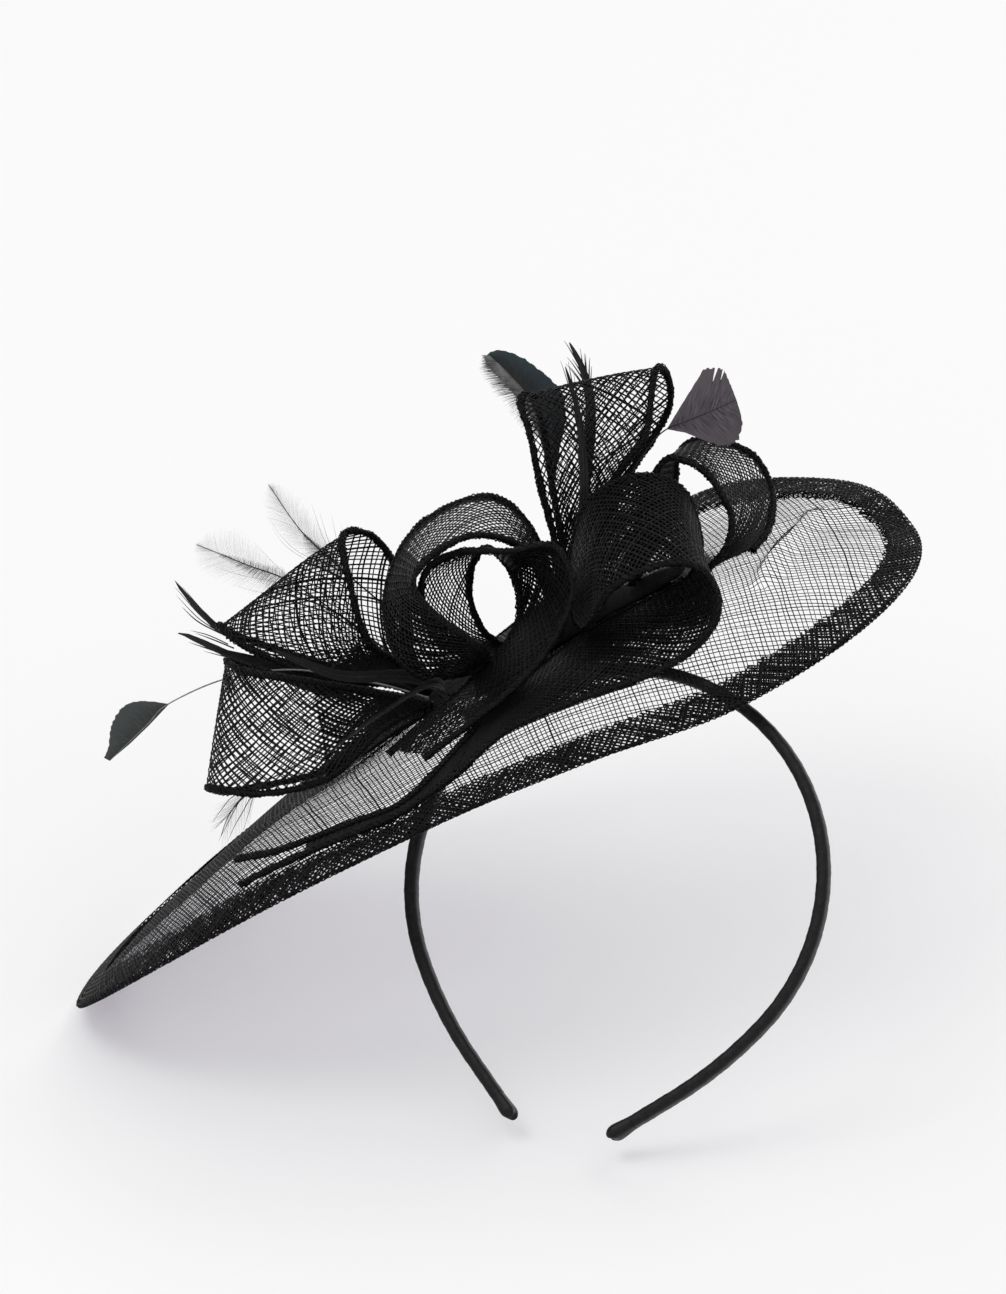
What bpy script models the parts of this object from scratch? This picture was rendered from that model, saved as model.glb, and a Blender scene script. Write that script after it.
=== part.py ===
"""Sinamay fascinator on a satin headband: a wired oval brim dressed with ribbon loops and feathers.

Metres, +Z up. The origin is the middle of the head space inside the headband. The headpiece stands as it
does on a table: headband tips down and leaning back, the left end of the brim low.
"""

from math import asin, atan2, cos, degrees, hypot, pi, radians, sin, sqrt

import bmesh
import bpy
from mathutils import Euler, Matrix, Vector

MM = 0.001

# Fits
GAP = 0.3 * MM  # clear space between pieces that lie against each other
HINGE_GAP = 0.7 * MM  # between the crown and a leg of the headband, where the leg flexes

# Headband, measured on the middle line of its plastic core
BAND_RADIUS = 66 * MM
BAND_SHOULDER = radians(122)  # where the round of the head ends, from the top of the band
LEG_RADIUS = 130 * MM
LEG_TURN = radians(16)
LEG_RUN = 14 * MM  # straight end of each leg
HINGE_ANGLE = radians(70)  # flex line of each leg, from the top of the band
BAND_LEAN = radians(38)  # backwards from upright
BAND_TURN = radians(-21)
CORE_WIDTH = 4.2 * MM
CORE_THICKNESS = 2.6 * MM
SLEEVE_WALL = 0.4 * MM
TIP_LENGTH = 9 * MM
TIP_FLARE = 0.9 * MM  # how far the folded satin tip stands out beyond the sleeve, on each side
TIP_WIDEST = 0.7  # where along the tip that is

# Brim, an oval saucer: along its length, across it (plus is the back) and up
BRIM_LENGTH = 300 * MM
BRIM_WIDTH = 180 * MM
DOME_HEIGHT = 27 * MM
BRIM_THICKNESS = 0.8 * MM
RIM_HEIGHTS = (  # degrees round the rim from the right end towards the back, and height in millimetres
    (0, 1), (12, 13), (28, 23), (48, 33), (64, 29), (100, 9.5), (128, 3.5), (160, -2),
    (180, -2.5), (232, 8.5), (260, 9.5), (280, 3.5), (300, -6.5), (330, -7.5),
)
DOME_FULLNESS = 2.9  # the power that shapes the fall from dome to rim, at the front and back
FULLNESS_CHANGE = 1.6  # more of it at the right end, less at the left
LEFT_SWELL = 8 * MM  # how much higher the cloth stands behind the front left rim
SWELL_ALONG = (-30 * MM, -90 * MM)  # where it starts and where it is full
SWELL_ACROSS = (20 * MM, -25 * MM)
WIRE_DIAMETER = 0.9 * MM
BINDING_DEPTH = 12.5 * MM  # along the slope of the cloth
BINDING_WALL = 0.4 * MM
OPENINGS_ALONG = 12  # the open weave is a plain grid of holes, so many along the brim
OPENING_ROWS = 7
OPENING_BAR = 4.5 * MM  # cloth between one hole and the next

# Seat of the brim on the headband
SEAT_ANGLE = radians(-42)  # from the top of the band, towards its left leg
SEAT_ALONG = 16 * MM
SEAT_ACROSS = -30 * MM
SEAT_RISE = 3.6 * MM  # from the band up to the brim, at the middle of the seat
BRIM_ROLL = radians(26.5)
BRIM_TURN = radians(9.6)
PAD_LENGTH = 32 * MM
STITCH_DIAMETER = 0.7 * MM
STITCH_PITCH = 7 * MM
STITCH_COUNT = 4

# Ribbon loops and the base they are sewn to
BASE_LENGTH = 120 * MM
BASE_WIDTH = 40 * MM
BASE_ALONG = 22 * MM
BASE_THICKNESS = 1.5 * MM
RIBBON_THICKNESS = 0.7 * MM
SPAN_STEPS = 3  # steps between one pair of ribbon points and the next

# Feathers
FEATHER_THICKNESS = 0.6 * MM
QUILL_WIDTH = 1.0 * MM

LYING = (BRIM_THICKNESS + RIBBON_THICKNESS) / 2 + GAP  # middle of a ribbon that lies on the brim
BASE_MIDDLE = (BRIM_THICKNESS + BASE_THICKNESS) / 2 + 1.5 * GAP
ROOT = BASE_MIDDLE + BASE_THICKNESS / 2 + 1.5 * GAP  # end of a ribbon on the base
SLEEVE_WIDTH = CORE_WIDTH + 2 * GAP + 2 * SLEEVE_WALL
SLEEVE_THICKNESS = CORE_THICKNESS + 2 * GAP + 2 * SLEEVE_WALL

# Each ribbon is a row of points in pairs, one on each of its edges. A point is millimetres along the brim,
# across it and up from its surface. ROOT / MM and LYING / MM set the ends on the base and on the brim.
ON_BASE = ROOT / MM
ON_BRIM = LYING / MM
RIBBONS = {
    "loop_left_low": (
        ((-8, -15, ON_BASE), (-11, -15.5, ON_BASE)), ((-20, -20, 15.5), (-25, -25, 7)),
        ((-38, -26, 33), (-48, -30, 4.3)), ((-53, -24, 44.5), (-68, -26, 9.5)),
        ((-57, -14, 50), (-81, -16, 19.5)), ((-52, -4, 44.5), (-74, -6, 14.5)), ((-36, -6, 28), (-47, -10, 4.5)),
        ((-18, -8, 12), (-22, -12, 6)), ((-9, -6, ON_BASE), (-12, -9, ON_BASE)),
    ),
    "loop_left_high": (
        ((-11, 3, ON_BASE), (-7, 5, ON_BASE)), ((-15, 2, 12), (-11, 5, 16)), ((-34, 0, 28.5), (-16, 4, 29)),
        ((-49, 0, 49), (-12, 5, 47)), ((-54, 6, 60.5), (-7, 11, 59)), ((-50, 14, 52), (1, 20, 52)),
        ((-33, 15, 30), (2, 22, 36)), ((-14, 12, 11), (-6, 16, 15)), ((-10, 9, ON_BASE), (-5, 11, ON_BASE)),
    ),
    "loop_ring": (
        ((30, 4, ON_BASE), (28, -6, ON_BASE)), ((40, 2, 9), (38, -16, 12)), ((45, 2, 33), (40, -22, 33)),
        ((38, 2, 49), (29, -28, 46)), ((16, -2, 52), (15, -34, 48.5)), ((-2, -10, 42), (5, -42, 46)),
        ((-10, -22, 27), (6, -48, 37)), ((-6, -28, 15), (11, -50, 27)), ((6, -26, 9), (14, -46, 19)),
        ((12, -9, ON_BASE), (13, -17, ON_BASE + 3)),
    ),
    "ring_tail": (
        ((21, 1, ON_BASE), (17, -5, ON_BASE)), ((17, -3, 13), (4, -22, 19)), ((18, -3, 24), (4, -26, 33)),
        ((23, -5, 33), (10, -27, 43)), ((30, -8, 37), (21, -28, 44)), ((33, -14, 31), (36, -36, 39)),
        ((33, -18, 25), (48, -36, 35)), ((31, -20, 19), (49, -40, 26)), ((26, -22, 13), (45, -44, 20)),
        ((15, -25, 8), (35, -48, 13)), ((2, -27, 5), (20, -54, 8)), ((-14, -29, 2.5), (-1, -58, 5)),
        ((-27, -31, ON_BRIM), (-18, -60, 3.6)),
    ),
    "loop_front": (
        ((44, -34, 6), (43, -13, ON_BASE)), ((49, -42, 11), (48, -7, 16)), ((57, -46, 19), (64, -7, 34)),
        ((71, -50, 24), (82, -9, 36)), ((82, -52, 24), (92, -12, 27)), ((86, -53, 17), (89, -18, 12)),
        ((82, -56, 8), (82, -21, 4)), ((69, -60, 2), (72, -21, 1.8)), ((53, -64, 1.5), (60, -21, 1.5)),
        ((30, -65, 1.5), (43, -25, 1.5)), ((8, -65, 1.5), (22, -37, 1.5)), ((-12, -74, 1.5), (4, -52, 1.5)),
        ((-31, -77, 1.5), (-25, -70, 1.5)), ((-49, -73.5, 1.5), (-45, -66, 1.5)), ((-63, -70, 1.5), (-59, -62, 1.5)),
        ((-76, -66, 1.4), (-73, -56, 1.4)), ((-86, -61.5, 1.2), (-84, -44, 1.2)),
    ),
    "loop_right": (
        ((64, 1, ON_BASE), (66, 8, ON_BASE)), ((76, 5, 21), (86, 24, 14)), ((91, 4, 34), (96, 25, 29)),
        ((97, 0, 33), (104, 25, 31)), ((101, -4, 28), (111, 25, 27)), ((102, -8, 20), (117, 25, 19)),
        ((101, -9, 13), (117, 22, 10)), ((97, -10, 7), (114, 14, 5)), ((92, -11, 3), (109, 3, 2.5)),
        ((87, -11, ON_BRIM), (102, -8, ON_BRIM)),
    ),
    "loop_top": (
        ((40, 6, ON_BASE), (48, 6, ON_BASE)), ((49, 8, 24), (66, 6, 27)), ((54, 7, 43), (79, 2, 38)),
        ((59, 6, 60), (90, 0, 45)), ((61, 10, 69), (102, 6, 61)), ((65, 17, 68), (105, 13, 57)),
        ((63, 22, 55), (102, 18, 47)), ((57, 22, 38), (93, 20, 39)), ((51, 19, 21), (72, 18, 26)),
        ((42, 12, ON_BASE), (49, 12, ON_BASE)),
    ),
}

# A feather is flat. Its root is millimetres along and across the brim, on the base. It leans back and turns,
# in degrees, and its spine is points (along, up) from the root with half the width there, all in millimetres.
QUILL = QUILL_WIDTH / MM / 2
FEATHERS = {
    "feather_coque": ((46, 16.5), 15, 0, (
        (0, 0, QUILL), (5, 16, QUILL), (14, 38, QUILL), (21, 56, 3), (21, 65, 7), (17, 74, 7.5), (11, 81, 4),
    )),
    "feather_biot_back": ((52, 15.5), 15, 0, (
        (0, 0, QUILL), (16, 32, QUILL), (29, 57, 2), (33, 66, 2.4), (34, 74, 0.4),
    )),
    "feather_biot_front": ((47, 1), -4, 0, (
        (0, 0, QUILL), (8, 16, QUILL), (20, 40, 1.4), (28, 60, 1.6), (31, 72, 0.4),
    )),
    "feather_arrow": ((44.5, 9), 0, 1.5, (
        (0, 0, QUILL), (16, 14, QUILL), (35, 28, QUILL), (50, 36, 1.2), (57, 36, 4), (64, 35.7, 8),
        (70, 35, 12.3), (76, 34.5, 10.5),
    )),
    "feather_leaf": ((-8, -2), 0, 0, (
        (0, 0, QUILL), (-12, 12, QUILL), (-32, 28, QUILL), (-52, 36, QUILL), (-70, 40, QUILL), (-80, 40, 5),
        (-90, 37, 5), (-98, 33, 0.6),
    )),
    "feather_wisp_low": ((-6, 15.5), 18, 0, (
        (0, 0, QUILL), (-9, 22, QUILL), (-22, 43, 3), (-32, 59, 8), (-39, 68, 7), (-43, 74, 1),
    )),
    "feather_wisp_high": ((0, 16.5), 18, 0, (
        (0, 0, QUILL), (-4, 26, QUILL), (-11, 48, 3), (-14, 63, 8), (-16, 73, 7), (-17, 79, 1),
    )),
    "feather_spike_high": ((-13, 10.5), 13.5, 10, (
        (0, 0, QUILL), (-22, 24, QUILL), (-41, 47, 2), (-44, 58, 2.5), (-45, 68, 0.5),
    )),
    "feather_spike_low": ((-12.5, 0.5), 6, 0, (
        (0, 0, QUILL), (-24, 18, QUILL), (-43, 40, 2), (-48, 48, 2), (-53, 55, 0.5),
    )),
    "feather_hackle": ((-13, -13.5), 0, 3, (
        (0, 0, QUILL), (-17, 4, QUILL), (-40, 4, 1.5), (-56, 4, 4), (-64, 1, 6), (-71, -4, 3),
    )),
    "feather_sickle_high": ((-4, -14.5), -30, 16, (
        (0, 0, QUILL), (-8, 14, 1.5), (-28, 28, 2.5), (-40, 42, 2), (-47, 52, 0.5),
    )),
    "feather_sickle_low": ((-2, -16), -62, 22, (
        (0, 0, QUILL), (-10, 20, 1.5), (-28, 22, 2.5), (-42, 20, 2), (-52, 16, 0.5),
    )),
}

BLACK_SINAMAY = (0.012, 0.012, 0.014)
BLACK_SATIN = (0.01, 0.01, 0.011)
BLACK_FEATHER = (0.014, 0.013, 0.016)
GREY_FEATHER = (0.16, 0.155, 0.16)
BLACK_FELT = (0.016, 0.016, 0.017)
WIRE_STEEL = (0.4, 0.4, 0.42)
CORE_PLASTIC = (0.03, 0.03, 0.03)
BLACK_THREAD = (0.02, 0.02, 0.02)


def clear_scene():
    for obj in list(bpy.data.objects):
        bpy.data.objects.remove(obj, do_unlink=True)


def collection(name):
    made = bpy.data.collections.new(name)
    bpy.context.scene.collection.children.link(made)
    return made


def material(name, colour, roughness, metallic=0.0):
    made = bpy.data.materials.new(name)
    made.use_nodes = True
    shader = made.node_tree.nodes["Principled BSDF"]
    shader.inputs["Base Color"].default_value = (*colour, 1.0)
    shader.inputs["Roughness"].default_value = roughness
    shader.inputs["Metallic"].default_value = metallic
    return made


def frame(name, parent, matrix):
    """An empty that carries the pieces built in its own axes."""
    empty = bpy.data.objects.new(name, None)
    parts.objects.link(empty)
    empty.parent = parent
    empty.matrix_local = matrix
    return empty


def place(name, data, parent, finish, matrix=None):
    obj = bpy.data.objects.new(name, data)
    parts.objects.link(obj)
    obj.parent = parent
    if matrix is not None:
        obj.matrix_local = matrix
    data.materials.append(finish)
    return obj


def patch(name, parent, finish, rows, columns, point, thickness=0.0, capped=False):
    """A grid bent to point(u, v), u and v from 0 to 1, then thickened, or capped at its open ends."""
    mesh = bpy.data.meshes.new(name)
    bent = bmesh.new()
    bmesh.ops.create_grid(bent, x_segments=rows, y_segments=columns, size=0.5)
    for vert in bent.verts:
        vert.co = point(vert.co.x + 0.5, vert.co.y + 0.5)
    bmesh.ops.remove_doubles(bent, verts=bent.verts, dist=0.01 * MM)
    if capped:
        bmesh.ops.holes_fill(bent, edges=bent.edges)
    bent.normal_update()
    bmesh.ops.recalc_face_normals(bent, faces=bent.faces)
    bent.to_mesh(mesh)
    bent.free()
    mesh.shade_smooth()
    obj = place(name, mesh, parent, finish)
    if thickness:
        shell = obj.modifiers.new("thickness", "SOLIDIFY")
        shell.thickness = thickness
        shell.offset = 0.0
        shell.use_even_offset = True
    return obj


def wire(name, parent, finish, points, diameter, closed=False):
    """A round wire or thread through the points."""
    curve = bpy.data.curves.new(name, "CURVE")
    curve.dimensions = "3D"
    curve.bevel_depth = diameter / 2
    curve.bevel_resolution = 1
    curve.use_fill_caps = not closed
    spline = curve.splines.new("POLY")
    spline.points.add(len(points) - 1)
    for place_in_curve, co in zip(spline.points, points):
        place_in_curve.co = (*co, 1.0)
    spline.use_cyclic_u = closed
    return place(name, curve, parent, finish)


def through(values, at):
    """A smooth curve through evenly spaced values, at a share from 0 to 1 of its length."""
    last = len(values) - 1
    where = min(max(at, 0.0), 1.0) * last
    first = min(int(where), last - 1)
    share = where - first
    before = values[max(first - 1, 0)]
    here = values[first]
    there = values[first + 1]
    after = values[min(first + 2, last)]
    leave = (there - before) / 2
    arrive = (after - here) / 2
    turn = share * share * (3 - 2 * share)
    return (
        here * (1 - turn)
        + there * turn
        + leave * (share * (1 - share) ** 2)
        - arrive * (share * share * (1 - share))
    )


# Headband


def band_at(distance, out=0.0):
    """A point of the band in its own plane, at a distance from its top along the core and out from it."""
    side = -1.0 if distance < 0 else 1.0
    left = abs(distance)
    turned = min(left / BAND_RADIUS, BAND_SHOULDER)
    left -= turned * BAND_RADIUS
    point = Vector((sin(turned), cos(turned), 0.0)) * BAND_RADIUS
    more = min(left / LEG_RADIUS, LEG_TURN)
    left -= more * LEG_RADIUS
    point += (Vector((sin(turned + more), cos(turned + more), 0.0)) - point.normalized()) * LEG_RADIUS
    heading = turned + more
    point += Vector((cos(heading), -sin(heading), 0.0)) * left
    point += Vector((sin(heading), cos(heading), 0.0)) * out
    return Vector((side * point.x, point.y, 0.0))


def band_frame_at(distance):
    """Axes on the band: X along it to the right, Y away from the wearer's face, Z out from the head."""
    step = 0.1 * MM
    along = (band_at(distance + step) - band_at(distance - step)).normalized()
    out = (band_at(distance, step) - band_at(distance)).normalized()
    axes = Matrix((along, out.cross(along), out)).transposed().to_4x4()
    return Matrix.Translation(band_at(distance)) @ axes


BAND_END = BAND_RADIUS * BAND_SHOULDER + LEG_RADIUS * LEG_TURN + LEG_RUN
HINGE_AT = BAND_RADIUS * HINGE_ANGLE
SEAT_AT = BAND_RADIUS * SEAT_ANGLE


def core_strip(name, parent, origin, start, stop, rows):
    def point(u, v):
        flat = band_at(start + (stop - start) * u)
        return flat + Vector((0.0, 0.0, (v - 0.5) * CORE_WIDTH)) - origin

    return patch(name, parent, plastic, rows, 1, point, CORE_THICKNESS)


def rounded_section(width, thickness, share):
    """A point round a flat oval, from its wide side."""
    turn = 2 * pi * share
    power = 0.3
    wide = abs(cos(turn)) ** power * (1 if cos(turn) >= 0 else -1)
    thick = abs(sin(turn)) ** power * (1 if sin(turn) >= 0 else -1)
    return wide * width / 2, thick * thickness / 2


def sleeve(name, parent, origin, start, stop, rows):
    """Satin drawn over the core, open at both ends."""

    def point(u, v):
        wide, out = rounded_section(SLEEVE_WIDTH - SLEEVE_WALL, SLEEVE_THICKNESS - SLEEVE_WALL, v)
        flat = band_at(start + (stop - start) * u, out)
        return flat + Vector((0.0, 0.0, wide)) - origin

    return patch(name, parent, satin, rows, 8, point, SLEEVE_WALL)


def tip(name, parent, origin, side):
    """Folded satin end of a leg: it flares from the sleeve, then closes to a flat mouth."""

    def point(u, v):
        flare = sin(pi / 2 * min(u / TIP_WIDEST, 1.0)) ** 2
        closed = (max(u - TIP_WIDEST, 0.0) / (1 - TIP_WIDEST)) ** 2
        width = (SLEEVE_WIDTH + 2 * TIP_FLARE * flare) * (1 - 0.25 * closed)
        thickness = (SLEEVE_THICKNESS + TIP_FLARE * flare) * (1 - 0.5 * closed)
        wide, out = rounded_section(width, thickness, v)
        flat = band_at(side * (BAND_END + GAP + TIP_LENGTH * u), out)
        return flat + Vector((0.0, 0.0, wide)) - origin

    return patch(name, parent, satin, 7, 12, point, capped=True)


def headband():
    half = HINGE_GAP / 2
    none = Vector((0.0, 0.0, 0.0))
    core_strip("band_core_crown", band, none, half - HINGE_AT, HINGE_AT - half, 24)
    sleeve("band_sleeve_crown", band, none, half - HINGE_AT, HINGE_AT - half, 24)
    for side, word in ((-1, "left"), (1, "right")):
        origin = band_at(side * HINGE_AT)
        hinge = frame("hinge_" + word, band, Matrix.Translation(origin))
        start = side * (HINGE_AT + half)
        core_strip("band_core_" + word, hinge, origin, start, side * (BAND_END - GAP), 16)
        sleeve("band_sleeve_" + word, hinge, origin, start, side * BAND_END, 16)
        tip("band_tip_" + word, hinge, origin, side)


# Brim


def rim_height(turn):
    """Height of the rim at an angle round the oval, on a smooth closed curve through RIM_HEIGHTS."""
    at = degrees(turn) % 360
    first, second = RIM_HEIGHTS[0], RIM_HEIGHTS[1]
    last = RIM_HEIGHTS[-1]
    knots = [(last[0] - 360, last[1]), *RIM_HEIGHTS, (360, first[1]), (second[0] + 360, second[1])]
    for before, here, there, after in zip(knots, knots[1:], knots[2:], knots[3:]):
        if here[0] <= at <= there[0]:
            break
    span = there[0] - here[0]
    share = (at - here[0]) / span
    leave = (there[1] - before[1]) / (there[0] - before[0]) * span
    arrive = (after[1] - here[1]) / (after[0] - here[0]) * span
    turned = share * share * (3 - 2 * share)
    height = here[1] + (there[1] - here[1]) * turned
    height += leave * share * (1 - share) ** 2 - arrive * share * share * (1 - share)
    return height * MM


def eased(value, start, stop):
    """From 0 at the start to 1 at the stop, smooth at both."""
    share = min(max((value - start) / (stop - start), 0.0), 1.0)
    return share * share * (3 - 2 * share)


def brim_height(along, across):
    """Height of the middle of the brim's cloth over the line between its two ends."""
    share = hypot(along / (BRIM_LENGTH / 2), across / (BRIM_WIDTH / 2))
    turn = atan2(across / BRIM_WIDTH, along / BRIM_LENGTH)
    power = DOME_FULLNESS + FULLNESS_CHANGE * cos(turn)
    swell = LEFT_SWELL * eased(along, *SWELL_ALONG) * eased(across, *SWELL_ACROSS)
    return DOME_HEIGHT + (rim_height(turn) - DOME_HEIGHT) * share**power + swell * (1 - share**8)


def brim_point(along, across, up=0.0):
    """A point a height up from the brim's cloth."""
    return Vector((along, across, brim_height(along, across) + up))


def oval_point(inset, turn, size=1.0):
    """A point on the cloth, an inset in from the rim at an angle round the oval, then drawn in by a size."""
    along = (BRIM_LENGTH / 2 - inset) * cos(turn) * size
    across = (BRIM_WIDTH / 2 - inset) * sin(turn) * size
    return brim_point(along, across)


def cloth_axes(inset, turn):
    """A point on the cloth, the way out along the cloth there, and the way up from it."""
    step = 0.5 * MM
    out = (oval_point(inset - step, turn) - oval_point(inset + step, turn)).normalized()
    round_it = (oval_point(inset, turn + 0.01) - oval_point(inset, turn - 0.01)).normalized()
    up = out.cross(round_it).normalized()
    return oval_point(inset, turn), round_it.cross(up).normalized(), up


def binding_reach(turn):
    """How far in from the rim the binding reaches in plan, at an angle round the oval."""
    step = 2 * MM
    slope = (oval_point(step, turn).z - oval_point(0.0, turn).z) / step
    return BINDING_DEPTH / hypot(1.0, slope)


WIRE_INSET = BINDING_WALL + GAP + WIRE_DIAMETER / 2
CLOTH_INSET = WIRE_INSET + WIRE_DIAMETER / 2 + GAP
FOLD_HALF = max(WIRE_DIAMETER, BRIM_THICKNESS) / 2 + GAP + BINDING_WALL / 2
RIM_STEPS = 52
DOME_RINGS = 6
BOUND_RINGS = 3  # rings of the cloth under the binding
FOLD_STEPS = 4


def kept_whole(along, across, pitch):
    """Whether the cloth has no hole here: under the base of the trim and over the seat."""
    if hypot((along - BASE_ALONG) / BASE_LENGTH, across / BASE_WIDTH) < 0.5:
        return True
    beside_seat = abs(along - SEAT_ALONG) < (PAD_LENGTH + pitch) / 2
    return beside_seat and abs(across - SEAT_ACROSS) < SLEEVE_WIDTH + pitch / 2


def brim_openings():
    """Blocks that cut the holes of the weave, each held inside the oval that the binding leaves free."""
    free_along = BRIM_LENGTH / 2 - BINDING_DEPTH
    free_across = BRIM_WIDTH / 2 - BINDING_DEPTH
    pitch = 2 * free_along / OPENINGS_ALONG
    side = pitch - OPENING_BAR
    blocks = bmesh.new()
    for column in range(OPENINGS_ALONG):
        along = (column - (OPENINGS_ALONG - 1) / 2) * pitch
        far_edge = abs(along) + side / 2
        reach = free_across * sqrt(max(1 - (far_edge / free_along) ** 2, 0.0)) - OPENING_BAR / 2
        for row in range(OPENING_ROWS):
            across = (row - (OPENING_ROWS - 1) / 2) * pitch
            low = max(across - side / 2, -reach)
            high = min(across + side / 2, reach)
            if high - low < OPENING_BAR or kept_whole(along, across, pitch):
                continue
            middle = Vector((along, (low + high) / 2, DOME_HEIGHT / 2))
            size = Matrix.Diagonal((side, high - low, 4 * DOME_HEIGHT, 1.0))
            bmesh.ops.create_cube(blocks, size=1.0, matrix=Matrix.Translation(middle) @ size)
    mesh = bpy.data.meshes.new("brim_openings")
    blocks.to_mesh(mesh)
    blocks.free()
    obj = bpy.data.objects.new("brim_openings", mesh)
    cutters.objects.link(obj)
    obj.parent = brim_frame
    obj.hide_render = True
    obj.display_type = "WIRE"
    return obj


def brim():
    rings = DOME_RINGS + BOUND_RINGS

    def bound_inset(from_edge, turn):
        """Inset of a ring under the binding, counted from the edge of the cloth."""
        return CLOTH_INSET + from_edge * (binding_reach(turn) - CLOTH_INSET) / BOUND_RINGS

    def cloth(u, v):
        ring = round(u * rings)
        turn = 2 * pi * v
        if ring <= DOME_RINGS:
            return oval_point(binding_reach(turn), turn, (ring / DOME_RINGS) ** 0.8)
        return oval_point(bound_inset(rings - ring, turn), turn)

    whole = patch("brim_sinamay", brim_frame, sinamay, rings, RIM_STEPS, cloth, BRIM_THICKNESS)
    cut = whole.modifiers.new("openings", "BOOLEAN")
    cut.object = brim_openings()
    cut.operation = "DIFFERENCE"

    def binding(u, v):
        """From the under edge of the binding, round the wire, to its upper edge."""
        turn = 2 * pi * u
        from_fold = round(v * (2 * BOUND_RINGS + FOLD_STEPS + 2)) - BOUND_RINGS - 1 - FOLD_STEPS / 2
        side = 1 if from_fold > 0 else -1
        flat_rings = abs(from_fold) - FOLD_STEPS / 2 - 1
        if flat_rings >= 0:
            point, _, up = cloth_axes(bound_inset(flat_rings, turn), turn)
            return point + up * FOLD_HALF * side
        point, out, up = cloth_axes(CLOTH_INSET, turn)
        bend = pi * from_fold / FOLD_STEPS
        point += out * (CLOTH_INSET - WIRE_INSET + FOLD_HALF * cos(bend))
        return point + up * FOLD_HALF * sin(bend)

    columns = 2 * BOUND_RINGS + FOLD_STEPS + 2
    patch("brim_binding", brim_frame, sinamay, RIM_STEPS, columns, binding, BINDING_WALL)

    ring = []
    for step in range(RIM_STEPS):
        point, out, _ = cloth_axes(CLOTH_INSET, 2 * pi * step / RIM_STEPS)
        ring.append(point + out * (CLOTH_INSET - WIRE_INSET))
    wire("brim_wire", brim_frame, steel, ring, WIRE_DIAMETER, closed=True)


def brim_matrix():
    """The brim's axes in the headband's: it lies SEAT_RISE over the band at the seat, rolled and turned."""
    seat = band_frame_at(SEAT_AT) @ Matrix.Translation((0.0, 0.0, SLEEVE_THICKNESS / 2 + SEAT_RISE))
    tilt = Euler((BRIM_ROLL, 0.0, BRIM_TURN)).to_matrix().to_4x4()
    return seat @ tilt @ Matrix.Translation(-brim_point(SEAT_ALONG, SEAT_ACROSS))


# Seat


def rise_to_brim(distance, wide):
    """How far out from the band's core the under face of the brim is, at a place along and across the band."""
    to_brim = brim_matrix().inverted()
    out = SEAT_RISE
    for _ in range(12):
        point = to_brim @ (band_at(distance, out) + Vector((0.0, 0.0, wide)))
        under = brim_height(point.x, point.y) - BRIM_THICKNESS / 2
        out += 0.8 * (under - point.z)
    return out


def seat():
    mesh = bpy.data.meshes.new("seat_pad")
    block = bmesh.new()
    bmesh.ops.create_cube(block, size=1.0)
    bmesh.ops.subdivide_edges(block, edges=block.edges, cuts=5, use_grid_fill=True)
    for vert in block.verts:
        distance = SEAT_AT + vert.co.x * PAD_LENGTH
        wide = vert.co.y * SLEEVE_WIDTH
        low = SLEEVE_THICKNESS / 2 + GAP
        high = rise_to_brim(distance, wide) - GAP
        out = low + (high - low) * (vert.co.z + 0.5)
        vert.co = band_at(distance, out) + Vector((0.0, 0.0, wide))
    block.normal_update()
    bmesh.ops.recalc_face_normals(block, faces=block.faces)
    block.to_mesh(mesh)
    block.free()
    place("seat_pad", mesh, band, felt)

    wide = SLEEVE_WIDTH / 2 + GAP + STITCH_DIAMETER / 2
    under = -(SLEEVE_THICKNESS / 2 + GAP + STITCH_DIAMETER / 2)
    for number in range(STITCH_COUNT):
        distance = SEAT_AT + (number - (STITCH_COUNT - 1) / 2) * STITCH_PITCH
        corner = 0.8 * MM
        route = []
        for side in (-1, 1):
            top = rise_to_brim(distance, side * wide) - GAP - STITCH_DIAMETER / 2
            leg = [(side * wide, top), (side * wide, under + corner)]
            leg.append((side * (wide - 0.3 * corner), under + 0.3 * corner))
            leg.append((side * (wide - corner), under))
            route += leg if side < 0 else reversed(leg)
        points = [band_at(distance, out) + Vector((0.0, 0.0, across)) for across, out in route]
        wire(f"seat_stitch_{number + 1}", band, thread, points, STITCH_DIAMETER)


# Trim


def trim_base():
    def oval(u, v):
        turn = 2 * pi * v
        along = BASE_ALONG + u * BASE_LENGTH / 2 * cos(turn)
        across = u * BASE_WIDTH / 2 * sin(turn)
        return brim_point(along, across, BASE_MIDDLE)

    patch("trim_base", brim_frame, felt, 4, 32, oval, BASE_THICKNESS)


def ribbon(name, pairs):
    """A ribbon between its two edges, each a smooth curve through its points."""
    edges = [[Vector(point) * MM for point in edge] for edge in zip(*pairs)]

    def point(u, v):
        return brim_point(*(through(edges[0], u) * (1 - v) + through(edges[1], u) * v))

    patch(name, brim_frame, sinamay, SPAN_STEPS * (len(pairs) - 1), 3, point, RIBBON_THICKNESS)


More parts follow.
